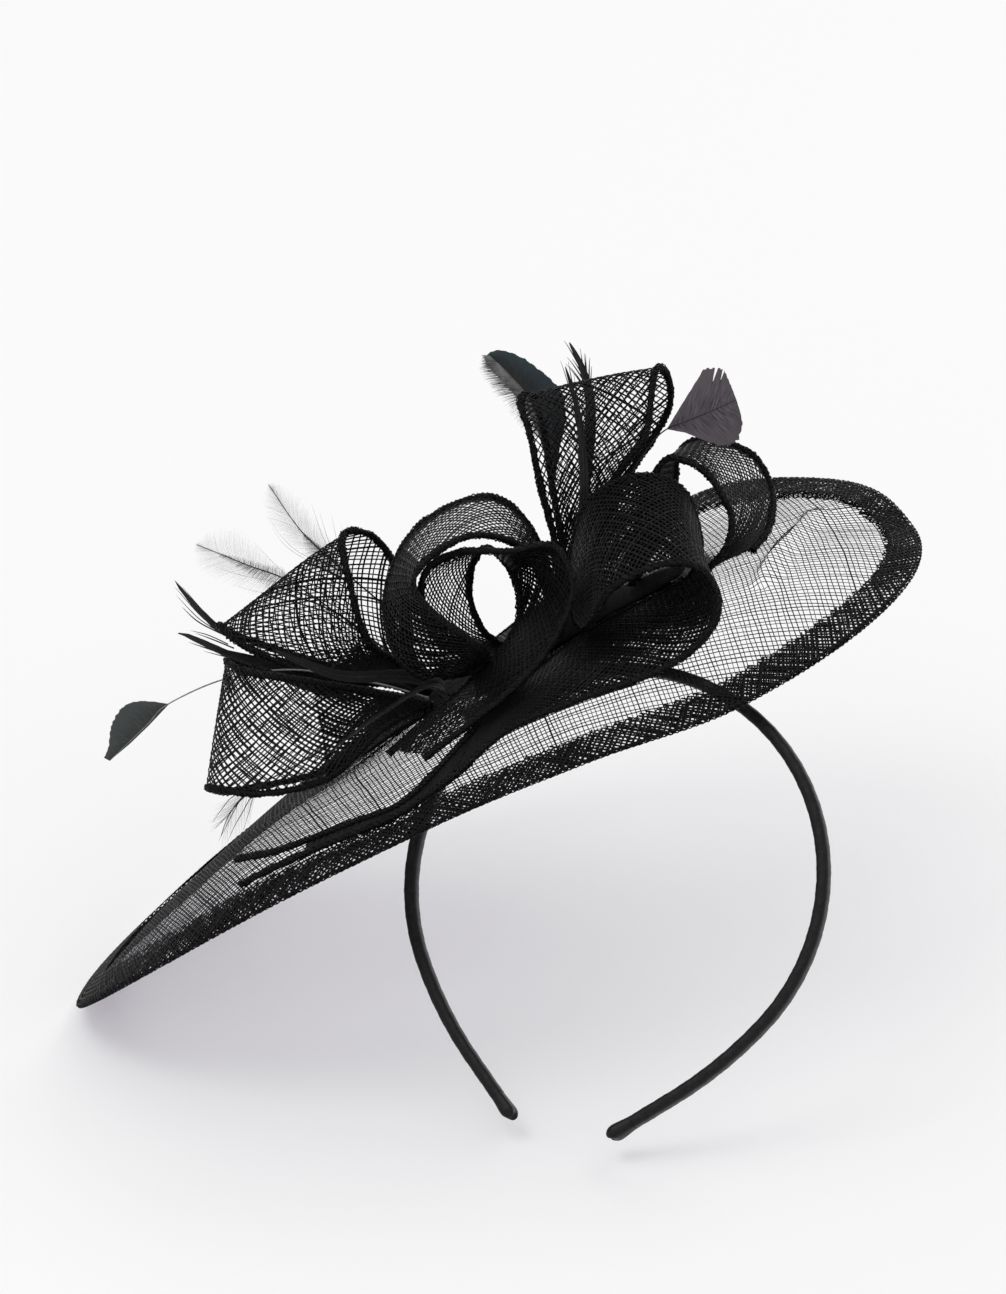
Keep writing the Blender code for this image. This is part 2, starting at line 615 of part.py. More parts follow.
def feather(name, root, lean, turn, spine):
    """A flat feather cut in one outline round its spine: the bare quill first, then the vane."""
    steps = 3 * (len(spine) - 1)
    middle = [Vector((along, up)) * MM for along, up, _ in spine]
    widths = [Vector((half * MM, 0.0)) for _, _, half in spine]
    sides = ([], [])
    for step in range(steps + 1):
        at = step / steps
        ahead = through(middle, min(at + 0.01, 1.0)) - through(middle, max(at - 0.01, 0.0))
        aside = Vector((-ahead.y, ahead.x)).normalized() * max(through(widths, at).x, 0.3 * MM)
        sides[0].append(through(middle, at) + aside)
        sides[1].append(through(middle, at) - aside)
    outline = sides[0] + sides[1][::-1]
    curve = bpy.data.curves.new(name, "CURVE")
    curve.dimensions = "2D"
    curve.fill_mode = "BOTH"
    curve.extrude = FEATHER_THICKNESS / 2
    spline = curve.splines.new("POLY")
    spline.points.add(len(outline) - 1)
    for point, co in zip(spline.points, outline):
        point.co = (co.x, co.y, 0.0, 1.0)
    spline.use_cyclic_u = True
    stand = Euler((pi / 2 - radians(lean), 0.0, radians(turn))).to_matrix().to_4x4()
    foot = brim_point(root[0] * MM, root[1] * MM, ROOT + QUILL_WIDTH / 3)
    pale = name.startswith("feather_wisp")
    place(name, curve, brim_frame, grey_feather if pale else black_feather, Matrix.Translation(foot) @ stand)


clear_scene()
parts = collection("fascinator")
cutters = collection("cutters")
sinamay = material("black_sinamay", BLACK_SINAMAY, 0.45)
satin = material("black_satin", BLACK_SATIN, 0.35)
black_feather = material("black_feather", BLACK_FEATHER, 0.5)
grey_feather = material("grey_feather", GREY_FEATHER, 0.6)
felt = material("black_felt", BLACK_FELT, 0.9)
steel = material("wire_steel", WIRE_STEEL, 0.4, 1.0)
plastic = material("core_plastic", CORE_PLASTIC, 0.5)
thread = material("black_thread", BLACK_THREAD, 0.6)

stance = Euler((pi / 2 - BAND_LEAN, 0.0, BAND_TURN)).to_matrix().to_4x4()
band = frame("band_frame", None, stance)
brim_frame = frame("brim_frame", band, brim_matrix())

headband()
brim()
seat()
trim_base()
for ribbon_name, ribbon_pairs in RIBBONS.items():
    ribbon(ribbon_name, ribbon_pairs)
for feather_name, feather_shape in FEATHERS.items():
    feather(feather_name, *feather_shape)
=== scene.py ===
"""Looks for the sinamay fascinator: woven threads, rolled edges, feathers and satin round the CAD frame."""

from math import cos, pi, radians, sin

import bmesh
import bpy
import numpy as np
from mathutils import Euler, Matrix, Vector


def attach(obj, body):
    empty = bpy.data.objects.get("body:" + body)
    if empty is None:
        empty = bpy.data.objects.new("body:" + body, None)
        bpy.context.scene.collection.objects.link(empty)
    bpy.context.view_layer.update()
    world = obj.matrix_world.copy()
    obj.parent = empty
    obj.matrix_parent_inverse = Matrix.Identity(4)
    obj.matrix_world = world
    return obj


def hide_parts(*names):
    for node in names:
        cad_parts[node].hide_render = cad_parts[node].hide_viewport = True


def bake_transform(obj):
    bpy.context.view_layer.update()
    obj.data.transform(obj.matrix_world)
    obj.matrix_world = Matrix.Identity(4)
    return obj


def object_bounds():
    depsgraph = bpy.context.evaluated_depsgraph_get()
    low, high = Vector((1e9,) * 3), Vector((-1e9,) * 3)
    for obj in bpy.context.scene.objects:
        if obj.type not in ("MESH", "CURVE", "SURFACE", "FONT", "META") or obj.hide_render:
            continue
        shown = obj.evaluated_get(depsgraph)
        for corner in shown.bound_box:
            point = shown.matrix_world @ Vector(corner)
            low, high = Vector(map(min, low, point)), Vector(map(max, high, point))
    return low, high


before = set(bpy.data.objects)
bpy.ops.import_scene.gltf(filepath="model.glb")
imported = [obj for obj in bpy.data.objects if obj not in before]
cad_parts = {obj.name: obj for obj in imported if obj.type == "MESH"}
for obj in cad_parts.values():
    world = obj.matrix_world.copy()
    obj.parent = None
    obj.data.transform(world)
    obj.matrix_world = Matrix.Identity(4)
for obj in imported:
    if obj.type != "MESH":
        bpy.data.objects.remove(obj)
cad_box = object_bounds()

MM = 0.001
rng = np.random.default_rng(11)

# The frame's own sizes, as the CAD has them
BAND_RADIUS = 66.0
BAND_SHOULDER = radians(122)
LEG_RADIUS = 130.0
LEG_TURN = radians(16)
LEG_RUN = 14.0
HINGE_ANGLE = radians(70)
BAND_LEAN = radians(38)
BAND_TURN = radians(-21)
SLEEVE_WIDTH = 5.6
SLEEVE_THICKNESS = 4.0
BRIM_LENGTH = 300.0
BRIM_WIDTH = 180.0
DOME_HEIGHT = 27.0
RIM_HEIGHTS = (
    (0, 1), (12, 13), (28, 23), (48, 33), (64, 29), (100, 9.5), (128, 3.5), (160, -2),
    (180, -2.5), (232, 8.5), (260, 9.5), (280, 3.5), (300, -6.5), (330, -7.5),
)
DOME_FULLNESS = 2.9
FULLNESS_CHANGE = 1.6
LEFT_SWELL = 8.0
SWELL_ALONG = (-30.0, -90.0)
SWELL_ACROSS = (20.0, -25.0)
SEAT_ANGLE = radians(-42)
SEAT_ALONG = 16.0
SEAT_ACROSS = -30.0
SEAT_RISE = 3.6
BRIM_ROLL = radians(26.5)
BRIM_TURN = radians(9.6)
BINDING_DEPTH = 12.5
WIRE_INSET = 1.15
FOLD_HALF = 0.95
ON_BASE = 3.05
ON_BRIM = 1.05


def unit(v):
    return v / np.maximum(np.linalg.norm(v, axis=-1, keepdims=True), 1e-12)


def through(values, at):
    """A smooth curve through evenly spaced values, at shares from 0 to 1 of its length."""
    values = np.asarray(values, float)
    at = np.asarray(at, float)
    last = len(values) - 1
    where = np.clip(at, 0, 1) * last
    first = np.minimum(where.astype(int), last - 1)
    share = (where - first)[..., None]
    before = values[np.maximum(first - 1, 0)]
    here = values[first]
    there = values[first + 1]
    after = values[np.minimum(first + 2, last)]
    turn = share * share * (3 - 2 * share)
    leave = (there - before) / 2 * share * (1 - share) ** 2
    arrive = (after - here) / 2 * share**2 * (1 - share)
    return here * (1 - turn) + there * turn + leave - arrive


# Headband and brim frames, in millimetres


def band_at(distance, out=0.0):
    distance = np.asarray(distance, float)
    side = np.where(distance < 0, -1.0, 1.0)
    left = np.abs(distance)
    turned = np.minimum(left / BAND_RADIUS, BAND_SHOULDER)
    left = left - turned * BAND_RADIUS
    more = np.minimum(left / LEG_RADIUS, LEG_TURN)
    left = left - more * LEG_RADIUS
    heading = turned + more
    offset = BAND_RADIUS - LEG_RADIUS
    reach = LEG_RADIUS + out
    x = np.sin(turned) * offset + np.sin(heading) * reach + np.cos(heading) * left
    y = np.cos(turned) * offset + np.cos(heading) * reach - np.sin(heading) * left
    return np.stack(np.broadcast_arrays(side * x, y, np.zeros_like(x)), -1)


BAND_END = BAND_RADIUS * BAND_SHOULDER + LEG_RADIUS * LEG_TURN + LEG_RUN
HINGE_AT = BAND_RADIUS * HINGE_ANGLE
SEAT_AT = BAND_RADIUS * SEAT_ANGLE


def rim_height(turn):
    at = np.degrees(turn) % 360
    knots = np.array(RIM_HEIGHTS, float)
    ends = [knots[-2:] - (360, 0), knots, knots[:2] + (360, 0)]
    knots = np.concatenate(ends)
    first = np.clip(np.searchsorted(knots[:, 0], at, side="right") - 1, 1, len(knots) - 3)
    before, here, there, after = (knots[first + k] for k in (-1, 0, 1, 2))
    span = there[..., 0] - here[..., 0]
    share = (at - here[..., 0]) / span
    leave = (there[..., 1] - before[..., 1]) / (there[..., 0] - before[..., 0]) * span
    arrive = (after[..., 1] - here[..., 1]) / (after[..., 0] - here[..., 0]) * span
    turned = share * share * (3 - 2 * share)
    height = here[..., 1] + (there[..., 1] - here[..., 1]) * turned
    return height + leave * share * (1 - share) ** 2 - arrive * share * share * (1 - share)


def eased(value, start, stop):
    share = np.clip((value - start) / (stop - start), 0, 1)
    return share * share * (3 - 2 * share)


def brim_height(along, across):
    share = np.hypot(along / (BRIM_LENGTH / 2), across / (BRIM_WIDTH / 2))
    turn = np.arctan2(across / BRIM_WIDTH, along / BRIM_LENGTH)
    power = DOME_FULLNESS + FULLNESS_CHANGE * np.cos(turn)
    swell = LEFT_SWELL * eased(along, *SWELL_ALONG) * eased(across, *SWELL_ACROSS)
    return DOME_HEIGHT + (rim_height(turn) - DOME_HEIGHT) * share**power + swell * (1 - share**8)


def brim_point(along, across, up=0.0):
    along, across, up = np.broadcast_arrays(along, across, up)
    return np.stack([along, across, brim_height(along, across) + up], -1)


STANCE = Euler((pi / 2 - BAND_LEAN, 0.0, BAND_TURN)).to_matrix().to_4x4()


def brim_matrix():
    here = band_at(SEAT_AT)
    along = unit(band_at(SEAT_AT + 0.1) - band_at(SEAT_AT - 0.1))
    out = unit(band_at(SEAT_AT, 0.1) - here)
    seat = Matrix(np.stack([along, np.cross(out, along), out], 1).tolist()).to_4x4()
    seat.translation = Vector(here)
    rise = Matrix.Translation((0.0, 0.0, SLEEVE_THICKNESS / 2 + SEAT_RISE))
    tilt = Euler((BRIM_ROLL, 0.0, BRIM_TURN)).to_matrix().to_4x4()
    foot = Matrix.Translation(Vector(-brim_point(SEAT_ALONG, SEAT_ACROSS)))
    return STANCE @ seat @ rise @ tilt @ foot


BAND = np.array(STANCE)
BRIM = np.array(brim_matrix())


def placed(points, matrix):
    """Millimetres in a frame to metres in the world."""
    return (np.asarray(points, float) @ matrix[:3, :3].T + matrix[:3, 3]) * MM


def aimed(vectors, matrix):
    return vectors @ matrix[:3, :3].T


# Meshes


def mesh_object(name, verts, faces, material, body=None, flat=None):
    mesh = bpy.data.meshes.new(name)
    mesh.from_pydata(np.asarray(verts).tolist(), [], [list(f) for f in faces])
    mesh.shade_smooth()
    if flat is not None:
        corner = np.empty(len(mesh.loops), int)
        mesh.loops.foreach_get("vertex_index", corner)
        mesh.uv_layers.new(name="flat").uv.foreach_set("vector", flat[corner].ravel())
    mesh.materials.append(material)
    obj = bpy.data.objects.new(name, mesh)
    bpy.context.scene.collection.objects.link(obj)
    if body:
        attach(obj, body)
    return obj


def strands(points, normals, wide, thick, keep=None):
    """Four-sided threads along the rows of a grid of points, broken where keep is false, as verts and faces."""
    rows, steps = points.shape[:2]
    keep = np.ones((rows, steps), bool) if keep is None else keep.copy()
    ahead = keep[:, :-1] & keep[:, 1:]
    none = np.zeros((rows, 1), bool)
    has_next = np.concatenate([ahead, none], 1)
    has_last = np.concatenate([none, ahead], 1)
    keep = has_next | has_last
    step = points[:, 1:] - points[:, :-1]
    step = np.where(ahead[..., None], step, 0.0)
    zero = np.zeros((rows, 1, 3))
    tangent = np.concatenate([step, zero], 1) + np.concatenate([zero, step], 1)
    side = unit(np.cross(normals, tangent))
    up = unit(np.cross(tangent, side))
    wide = np.broadcast_to(np.asarray(wide, float), (rows, steps))[..., None] / 2
    thick = np.broadcast_to(np.asarray(thick, float), (rows, steps))[..., None] / 2
    corners = [points + side * wide * a + up * thick * b for a, b in ((-1, -1), (-1, 1), (1, 1), (1, -1))]
    corners = np.stack(corners, 2)
    index = np.full((rows, steps), -1)
    index[keep] = np.arange(keep.sum()) * 4
    verts = corners[keep].reshape(-1, 3)
    start = index[:, :-1][ahead]
    stop = index[:, 1:][ahead]
    faces = []
    for k in range(4):
        n = (k + 1) % 4
        faces.append(np.stack([start + k, start + n, stop + n, stop + k], 1))
    first = index[has_next & ~has_last]
    last = index[has_last & ~has_next]
    faces.append(np.stack([first + 3, first + 2, first + 1, first], 1))
    faces.append(np.stack([last, last + 1, last + 2, last + 3], 1))
    return verts, np.concatenate(faces)


def joined(parts):
    verts, faces, count = [], [], 0
    for v, f in parts:
        verts.append(v)
        faces.append(f + count)
        count += len(v)
    return np.concatenate(verts), np.concatenate(faces)


def loft(rows, closed=True):
    """Quads between rows of points, each row a ring if closed."""
    n, m = rows.shape[:2]
    grid = np.arange(n * m).reshape(n, m)
    if closed:
        grid = np.concatenate([grid, grid[:, :1]], 1)
    quads = np.stack([grid[:-1, :-1], grid[:-1, 1:], grid[1:, 1:], grid[1:, :-1]], -1)
    return rows.reshape(-1, 3), quads.reshape(-1, 4)


def wander(shape, size, along=0.35):
    """Smooth random drift of each thread along its length."""
    rows, steps = shape
    at = np.arange(steps) * along
    drift = np.zeros(shape)
    for octave in (1.0, 2.3):
        phase = rng.uniform(0, 2 * pi, (rows, 1))
        drift += np.sin(at * octave * rng.uniform(0.6, 1.2, (rows, 1)) + phase) / octave
    return drift * size


def thread_widths(rows, wide):
    """A width for each thread, with the odd thick straw among them."""
    width = wide * rng.lognormal(0.0, 0.16, rows)
    thick = rng.random(rows) < 0.07
    width[thick] *= 1.5
    return width[:, None]


def weave(surface, inside, count_i, count_j, wide, thick):
    """Plain weave of flat straws. surface(i, j) gives points and normals of a lattice and inside(i, j) where
    there is cloth. The width and the thickness are numbers, or functions of (i, j)."""
    sets = []
    for family in (0, 1):
        rows, steps = (count_i, count_j) if family == 0 else (count_j, count_i)
        fixed, run = np.meshgrid(rows.astype(float), steps.astype(float), indexing="ij")
        parity = np.where((np.round(fixed + run) % 2) == family, 1.0, -1.0)
        fixed = fixed + rng.normal(0, 0.08, (len(rows), 1)) + wander(fixed.shape, 0.09)
        i, j = (fixed, run) if family == 0 else (run, fixed)
        points, normals = surface(i, j)
        depth = thick(i, j) if callable(thick) else np.full(i.shape, thick)
        broad = wide(i, j) if callable(wide) else np.full(i.shape, wide)
        broad = broad * thread_widths(len(rows), 1.0)
        lift = (0.4 * depth * parity)[..., None]
        sets.append(strands(points + normals * lift, normals, broad, depth, inside(i, j)))
    return joined(sets)


# Materials


def shader(name):
    made = bpy.data.materials.new(name)
    made.use_nodes = True
    return made, made.node_tree.nodes, made.node_tree.links


def fibre(name, dark, light, rough, scale, bump=0.2, shine=0.5):
    """Fibre with streaks: colour, roughness and bump all follow one noise."""
    made, nodes, links = shader(name)
    paint = nodes["Principled BSDF"]
    place = nodes.new("ShaderNodeTexCoord")
    noise = nodes.new("ShaderNodeTexNoise")
    noise.inputs["Scale"].default_value = scale
    noise.inputs["Detail"].default_value = 4.0
    ramp = nodes.new("ShaderNodeValToRGB")
    ramp.color_ramp.elements[0].position = 0.32
    ramp.color_ramp.elements[1].position = 0.72
    ramp.color_ramp.elements[0].color = (*dark, 1)
    ramp.color_ramp.elements[1].color = (*light, 1)
    span = nodes.new("ShaderNodeMapRange")
    span.inputs["To Min"].default_value = rough - 0.15
    span.inputs["To Max"].default_value = min(rough + 0.15, 1.0)
    dent = nodes.new("ShaderNodeBump")
    dent.inputs["Strength"].default_value = bump
    dent.inputs["Distance"].default_value = 0.0002
    links.new(place.outputs["Object"], noise.inputs["Vector"])
    links.new(noise.outputs["Fac"], ramp.inputs["Fac"])
    links.new(ramp.outputs["Color"], paint.inputs["Base Color"])
    links.new(noise.outputs["Fac"], span.inputs["Value"])
    links.new(span.outputs["Result"], paint.inputs["Roughness"])
    links.new(noise.outputs["Fac"], dent.inputs["Height"])
    links.new(dent.outputs["Normal"], paint.inputs["Normal"])
    paint.inputs["Specular IOR Level"].default_value = shine
    return made


def vane_paint(name, dark, light, edge, rough):
    """A smooth vane: fine streaks along the barbs, and another colour towards the edge."""
    made, nodes, links = shader(name)
    paint = nodes["Principled BSDF"]
    place = nodes.new("ShaderNodeTexCoord")
    stretch = nodes.new("ShaderNodeMapping")
    stretch.inputs["Scale"].default_value = (90, 2.5, 1)
    noise = nodes.new("ShaderNodeTexNoise")
    noise.inputs["Scale"].default_value = 1.0
    noise.inputs["Detail"].default_value = 5.0
    ramp = nodes.new("ShaderNodeValToRGB")
    ramp.color_ramp.elements[0].position = 0.34
    ramp.color_ramp.elements[1].position = 0.68
    ramp.color_ramp.elements[0].color = (*dark, 1)
    ramp.color_ramp.elements[1].color = (*light, 1)
    split = nodes.new("ShaderNodeSeparateXYZ")
    outward = nodes.new("ShaderNodeMapRange")
    outward.inputs["From Min"].default_value = 0.25
    outward.inputs["From Max"].default_value = 1.0
    mix = nodes.new("ShaderNodeMix")
    mix.data_type = "RGBA"
    mix.inputs["B"].default_value = (*edge, 1)
    dent = nodes.new("ShaderNodeBump")
    dent.inputs["Strength"].default_value = 0.35
    dent.inputs["Distance"].default_value = 0.0002
    links.new(place.outputs["UV"], stretch.inputs["Vector"])
    links.new(stretch.outputs["Vector"], noise.inputs["Vector"])
    links.new(noise.outputs["Fac"], ramp.inputs["Fac"])
    links.new(place.outputs["UV"], split.inputs["Vector"])
    links.new(split.outputs["Y"], outward.inputs["Value"])
    links.new(outward.outputs["Result"], mix.inputs["Factor"])
    links.new(ramp.outputs["Color"], mix.inputs["A"])
    links.new(mix.outputs["Result"], paint.inputs["Base Color"])
    links.new(noise.outputs["Fac"], dent.inputs["Height"])
    links.new(dent.outputs["Normal"], paint.inputs["Normal"])
    paint.inputs["Roughness"].default_value = rough
    paint.inputs["Specular IOR Level"].default_value = 0.3
    return made


straw = fibre("sinamay_straw", (0.001, 0.001, 0.0014), (0.007, 0.007, 0.008), 0.36, 900.0, shine=0.15)
bound = fibre("bound_straw", (0.001, 0.001, 0.0014), (0.005, 0.005, 0.006), 0.45, 900.0, shine=0.1)
# Painted shade: a near-black copy of the straw for the middle ply of folded ribbons, standing for the shade
# between the plies
painted_shade_straw = fibre("inner_straw_painted_shade", (0.0006, 0.0006, 0.0008), (0.002, 0.002, 0.0025), 0.8, 900.0, shine=0.03)
rolled = fibre("rolled_straw", (0.001, 0.001, 0.0015), (0.006, 0.006, 0.007), 0.5, 1400.0, shine=0.12)
satin = fibre("black_satin", (0.003, 0.0025, 0.003), (0.011, 0.01, 0.011), 0.4, 900.0, bump=0.25, shine=0.2)
felt = fibre("black_felt", (0.002, 0.002, 0.002), (0.008, 0.008, 0.009), 0.9, 1800.0, bump=0.6, shine=0.1)
cotton = fibre("black_thread", (0.006, 0.006, 0.006), (0.02, 0.02, 0.02), 0.7, 2400.0, bump=0.4)
moulded = fibre("core_plastic", (0.02, 0.02, 0.02), (0.04, 0.04, 0.04), 0.5, 900.0, bump=0.1)
wrapped = fibre("wrapped_wire", (0.005, 0.005, 0.005), (0.018, 0.018, 0.018), 0.7, 2600.0, bump=0.5)
plume = fibre("black_plume", (0.004, 0.004, 0.005), (0.018, 0.018, 0.02), 0.5, 700.0, shine=0.25)
wisp_plume = fibre("wisp_plume", (0.16, 0.16, 0.163), (0.34, 0.34, 0.345), 0.6, 300.0, shine=0.2)
quill_paint = fibre("quill", (0.006, 0.006, 0.007), (0.03, 0.029, 0.029), 0.4, 500.0, shine=0.3)
pale_quill = fibre("pale_quill", (0.14, 0.14, 0.14), (0.3, 0.3, 0.3), 0.45, 500.0)
down_plume = fibre("down_plume", (0.1, 0.1, 0.103), (0.24, 0.24, 0.245), 0.6, 300.0, shine=0.2)
biot_vane = vane_paint("biot_vane", (0.003, 0.003, 0.004), (0.014, 0.014, 0.016), (0.008, 0.008, 0.009), 0.5)
# Painted sheen: the teal towards the vane edge stands for the coque's iridescent sheen
coque_vane = vane_paint(
    "coque_vane", (0.003, 0.004, 0.005), (0.014, 0.018, 0.021), (0.012, 0.026, 0.034), 0.42
)
arrow_vane = vane_paint("arrow_vane", (0.026, 0.022, 0.027), (0.165, 0.143, 0.17), (0.085, 0.074, 0.086), 0.5)
leaf_vane = vane_paint("leaf_vane", (0.03, 0.034, 0.034), (0.065, 0.072, 0.072), (0.05, 0.056, 0.056), 0.5)


# Stage and camera

LOWEST = cad_box[0][2]
CAMERA_ELEVATION = radians(30)
CAMERA_DISTANCE = 6.0
PHOTO = (1006, 1294)
PHOTO_SCALE = 3.25  # photograph pixels to a millimetre
ORIGIN_PIXEL = (617, 881)
FLOOR_COLOUR = (0.62, 0.638, 0.6)
FLOOR_LIFT = (0.32, 0.3, 0.345)  # the seamless white of the backdrop, as the camera and reflections see it


def stage():
    half = 4.0
    mesh = bpy.data.meshes.new("floor")
    corners = [(-half, -half, 0), (half, -half, 0), (half, half, 0), (-half, half, 0)]
    mesh.from_pydata(corners, [], [(0, 1, 2, 3)])
    floor = bpy.data.objects.new("floor", mesh)
    floor.location.z = LOWEST - 0.0004
    made, nodes, links = shader("floor_white")
    paint = nodes["Principled BSDF"]
    paint.inputs["Base Color"].default_value = (*FLOOR_COLOUR, 1)
    paint.inputs["Roughness"].default_value = 0.9
    paint.inputs["Specular IOR Level"].default_value = 0.1
    paint.inputs["Emission Color"].default_value = (*FLOOR_LIFT, 1)
    seen = nodes.new("ShaderNodeLightPath")
    either = nodes.new("ShaderNodeMath")
    either.operation = "MAXIMUM"
    any_of = nodes.new("ShaderNodeMath")
    any_of.operation = "MAXIMUM"
    links.new(seen.outputs["Is Camera Ray"], either.inputs[0])
    links.new(seen.outputs["Is Glossy Ray"], either.inputs[1])
    links.new(either.outputs[0], any_of.inputs[0])
    links.new(seen.outputs["Is Transmission Ray"], any_of.inputs[1])
    links.new(any_of.outputs[0], paint.inputs["Emission Strength"])
    mesh.materials.append(made)
    bpy.context.scene.collection.objects.link(floor)

    world = bpy.data.worlds.new("studio")
    bpy.context.scene.world = world
    world.use_nodes = True
    sky = world.node_tree.nodes["Background"]
    sky.inputs["Color"].default_value = (1, 1, 1, 1)
    sky.inputs["Strength"].default_value = 0.8

    def lamp(name, place, size, power):
        light = bpy.data.lights.new(name, "AREA")
        light.shape = "DISK"
        light.size = size
        light.energy = power
        obj = bpy.data.objects.new(name, light)
        obj.location = place
        obj.rotation_euler = (-Vector(place)).to_track_quat("-Z", "Y").to_euler()
        bpy.context.scene.collection.objects.link(obj)

    lamp("key", (-0.9, -0.5, 1.9), 1.1, 9.0)
    lamp("rim", (1.0, 1.2, 1.5), 0.9, 6.0)

    shift = ((PHOTO[0] / 2 - ORIGIN_PIXEL[0]) / PHOTO_SCALE, (ORIGIN_PIXEL[1] - PHOTO[1] / 2) / PHOTO_SCALE)
    up = Vector((0, sin(CAMERA_ELEVATION), cos(CAMERA_ELEVATION)))
    target = (Vector((shift[0], 0, 0)) + up * shift[1]) * MM
    back = Vector((0, -cos(CAMERA_ELEVATION), sin(CAMERA_ELEVATION)))
    data = bpy.data.cameras.new("camera")
    data.sensor_fit = "VERTICAL"
    data.sensor_height = 24.0
    data.lens = data.sensor_height * CAMERA_DISTANCE / (PHOTO[1] / PHOTO_SCALE * MM)
    data.clip_end = 50.0
    camera = bpy.data.objects.new("camera", data)
    camera.location = target + back * CAMERA_DISTANCE
    camera.rotation_euler = (pi / 2 - CAMERA_ELEVATION, 0, 0)
    bpy.context.scene.collection.objects.link(camera)
    bpy.context.scene.camera = camera
    bpy.context.scene.view_settings.view_transform = "Standard"


# Brim


def normals_of(function, a, b, step=0.05):
    first = function(a + step, b) - function(a - step, b)
    second = function(a, b + step) - function(a, b - step)
    return unit(np.cross(first, second))


# The ends of the crease, along and across the brim, and its height
CREASE = ((98.6, -35.7), (126.4, 15.1))
CREASE_HEIGHT = 4.2


def cloth_point(along, across):
    """The brim's own cloth, with the crease to the right of the loops."""
    first, last = np.array(CREASE)
    length = np.hypot(*(last - first))
    way = (last - first) / length
    ahead = ((along - first[0]) * way[0] + (across - first[1]) * way[1]) / length
    aside = (across - first[1]) * way[0] - (along - first[0]) * way[1]
    ridge = np.exp(-((aside / 3.2) ** 2)) * np.sin(pi * np.clip(ahead, 0, 1)) ** 0.4
    return brim_point(along, across, CREASE_HEIGHT * ridge)


def brim_weave():
    """The cloth lies straight along the brim, drawn together at its left end and close under the trim."""
    place = [-156.0]
    while place[-1] < 156:
        place.append(place[-1] + float(np.interp(place[-1], [-110, -70], [1.05, 1.5])))
    steps = np.arange(len(place))

    def spot(i, j):
        along = np.interp(i, steps, place)
        across = j * np.interp(along, [-110, 0], [1.2, 1.5])
        return along * (1 - 0.13 * (across / 90) ** 2), across

    def surface(i, j):
        along, across = spot(i, j)
        points = placed(cloth_point(along, across), BRIM) / MM
        return points, aimed(normals_of(cloth_point, along, across), BRIM)

    def inside(i, j):
        along, across = spot(i, j)
        return np.hypot(along / (BRIM_LENGTH / 2 - 2.2), across / (BRIM_WIDTH / 2 - 2.2)) < 1

    def wide(i, j):
        along, across = spot(i, j)
        under_trim = eased(np.hypot((along - 50) / 40, (across - 2) / 24), 1.15, 0.9)
        open_width = np.interp(along, [-95, -20, 60], [0.42, 0.34, 0.27])
        return open_width + (1.2 - open_width) * under_trim

    def thick(i, j):
        return np.interp(spot(i, j)[0], [-95, -20, 60], [0.13, 0.13, 0.11])

    verts, faces = weave(surface, inside, steps, np.arange(-82, 83), wide, thick)
    obj = mesh_object("brim_cloth", verts * MM, faces, bound, "headpiece")
    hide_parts("brim_sinamay")
    return obj


def oval_point(inset, turn):
    return brim_point((BRIM_LENGTH / 2 - inset) * np.cos(turn), (BRIM_WIDTH / 2 - inset) * np.sin(turn))


def binding_weave():
    """A bias strip folded over the rim: from its under edge, round the wire, to its upper edge."""
    turns = np.linspace(0, 2 * pi, 721) + pi / 2
    ring = oval_point(3.0, turns)
    length = np.concatenate([[0], np.cumsum(np.linalg.norm(np.diff(ring, axis=0), axis=1))])
    fold = pi * FOLD_HALF
    flat = BINDING_DEPTH - WIRE_INSET
    strip = 2 * flat + fold
    step = 1.03

    def section(s, t):
        turn = np.interp(s, length, turns)
        beyond = np.abs(t - strip / 2)
        side = np.where(t > strip / 2, 1.0, -1.0)
        bend = np.minimum(beyond, fold / 2) / FOLD_HALF
        slope = (oval_point(2.0, turn)[..., 2] - oval_point(0.0, turn)[..., 2]) / 2
        inset = WIRE_INSET + np.maximum(beyond - fold / 2, 0) / np.hypot(1, slope)
        point = oval_point(inset, turn)
        out = unit(oval_point(inset - 0.5, turn) - oval_point(inset + 0.5, turn))
        round_it = unit(oval_point(inset, turn + 0.01) - oval_point(inset, turn - 0.01))
        up = unit(np.cross(out, round_it))
        out = np.cross(round_it, up)
        reach = np.where(beyond < fold / 2, FOLD_HALF * np.cos(bend), 0.0)
        rise = np.where(beyond < fold / 2, FOLD_HALF * np.sin(bend), FOLD_HALF) * side
        normal = unit(out * reach[..., None] + up * rise[..., None])
        return point + out * reach[..., None] + up * rise[..., None], normal

    def surface(i, j):
        points, normals = section((i + j) * step, (i - j) * step)
        return placed(points, BRIM) / MM, aimed(normals, BRIM)

    def inside(i, j):
        s, t = (i + j) * step, (i - j) * step
        return (s > 0) & (s < length[-1]) & (t > 0) & (t < strip)

    most = int((length[-1] + strip) / step / 2) + 2
    least = -int(strip / step / 2) - 2
    verts, faces = weave(surface, inside, np.arange(0, most), np.arange(least, most), 0.56, 0.13)
    obj = mesh_object("brim_binding_cloth", verts * MM, faces, bound, "headpiece")
    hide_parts("brim_binding")
    return obj


# Ribbons with rolled edges

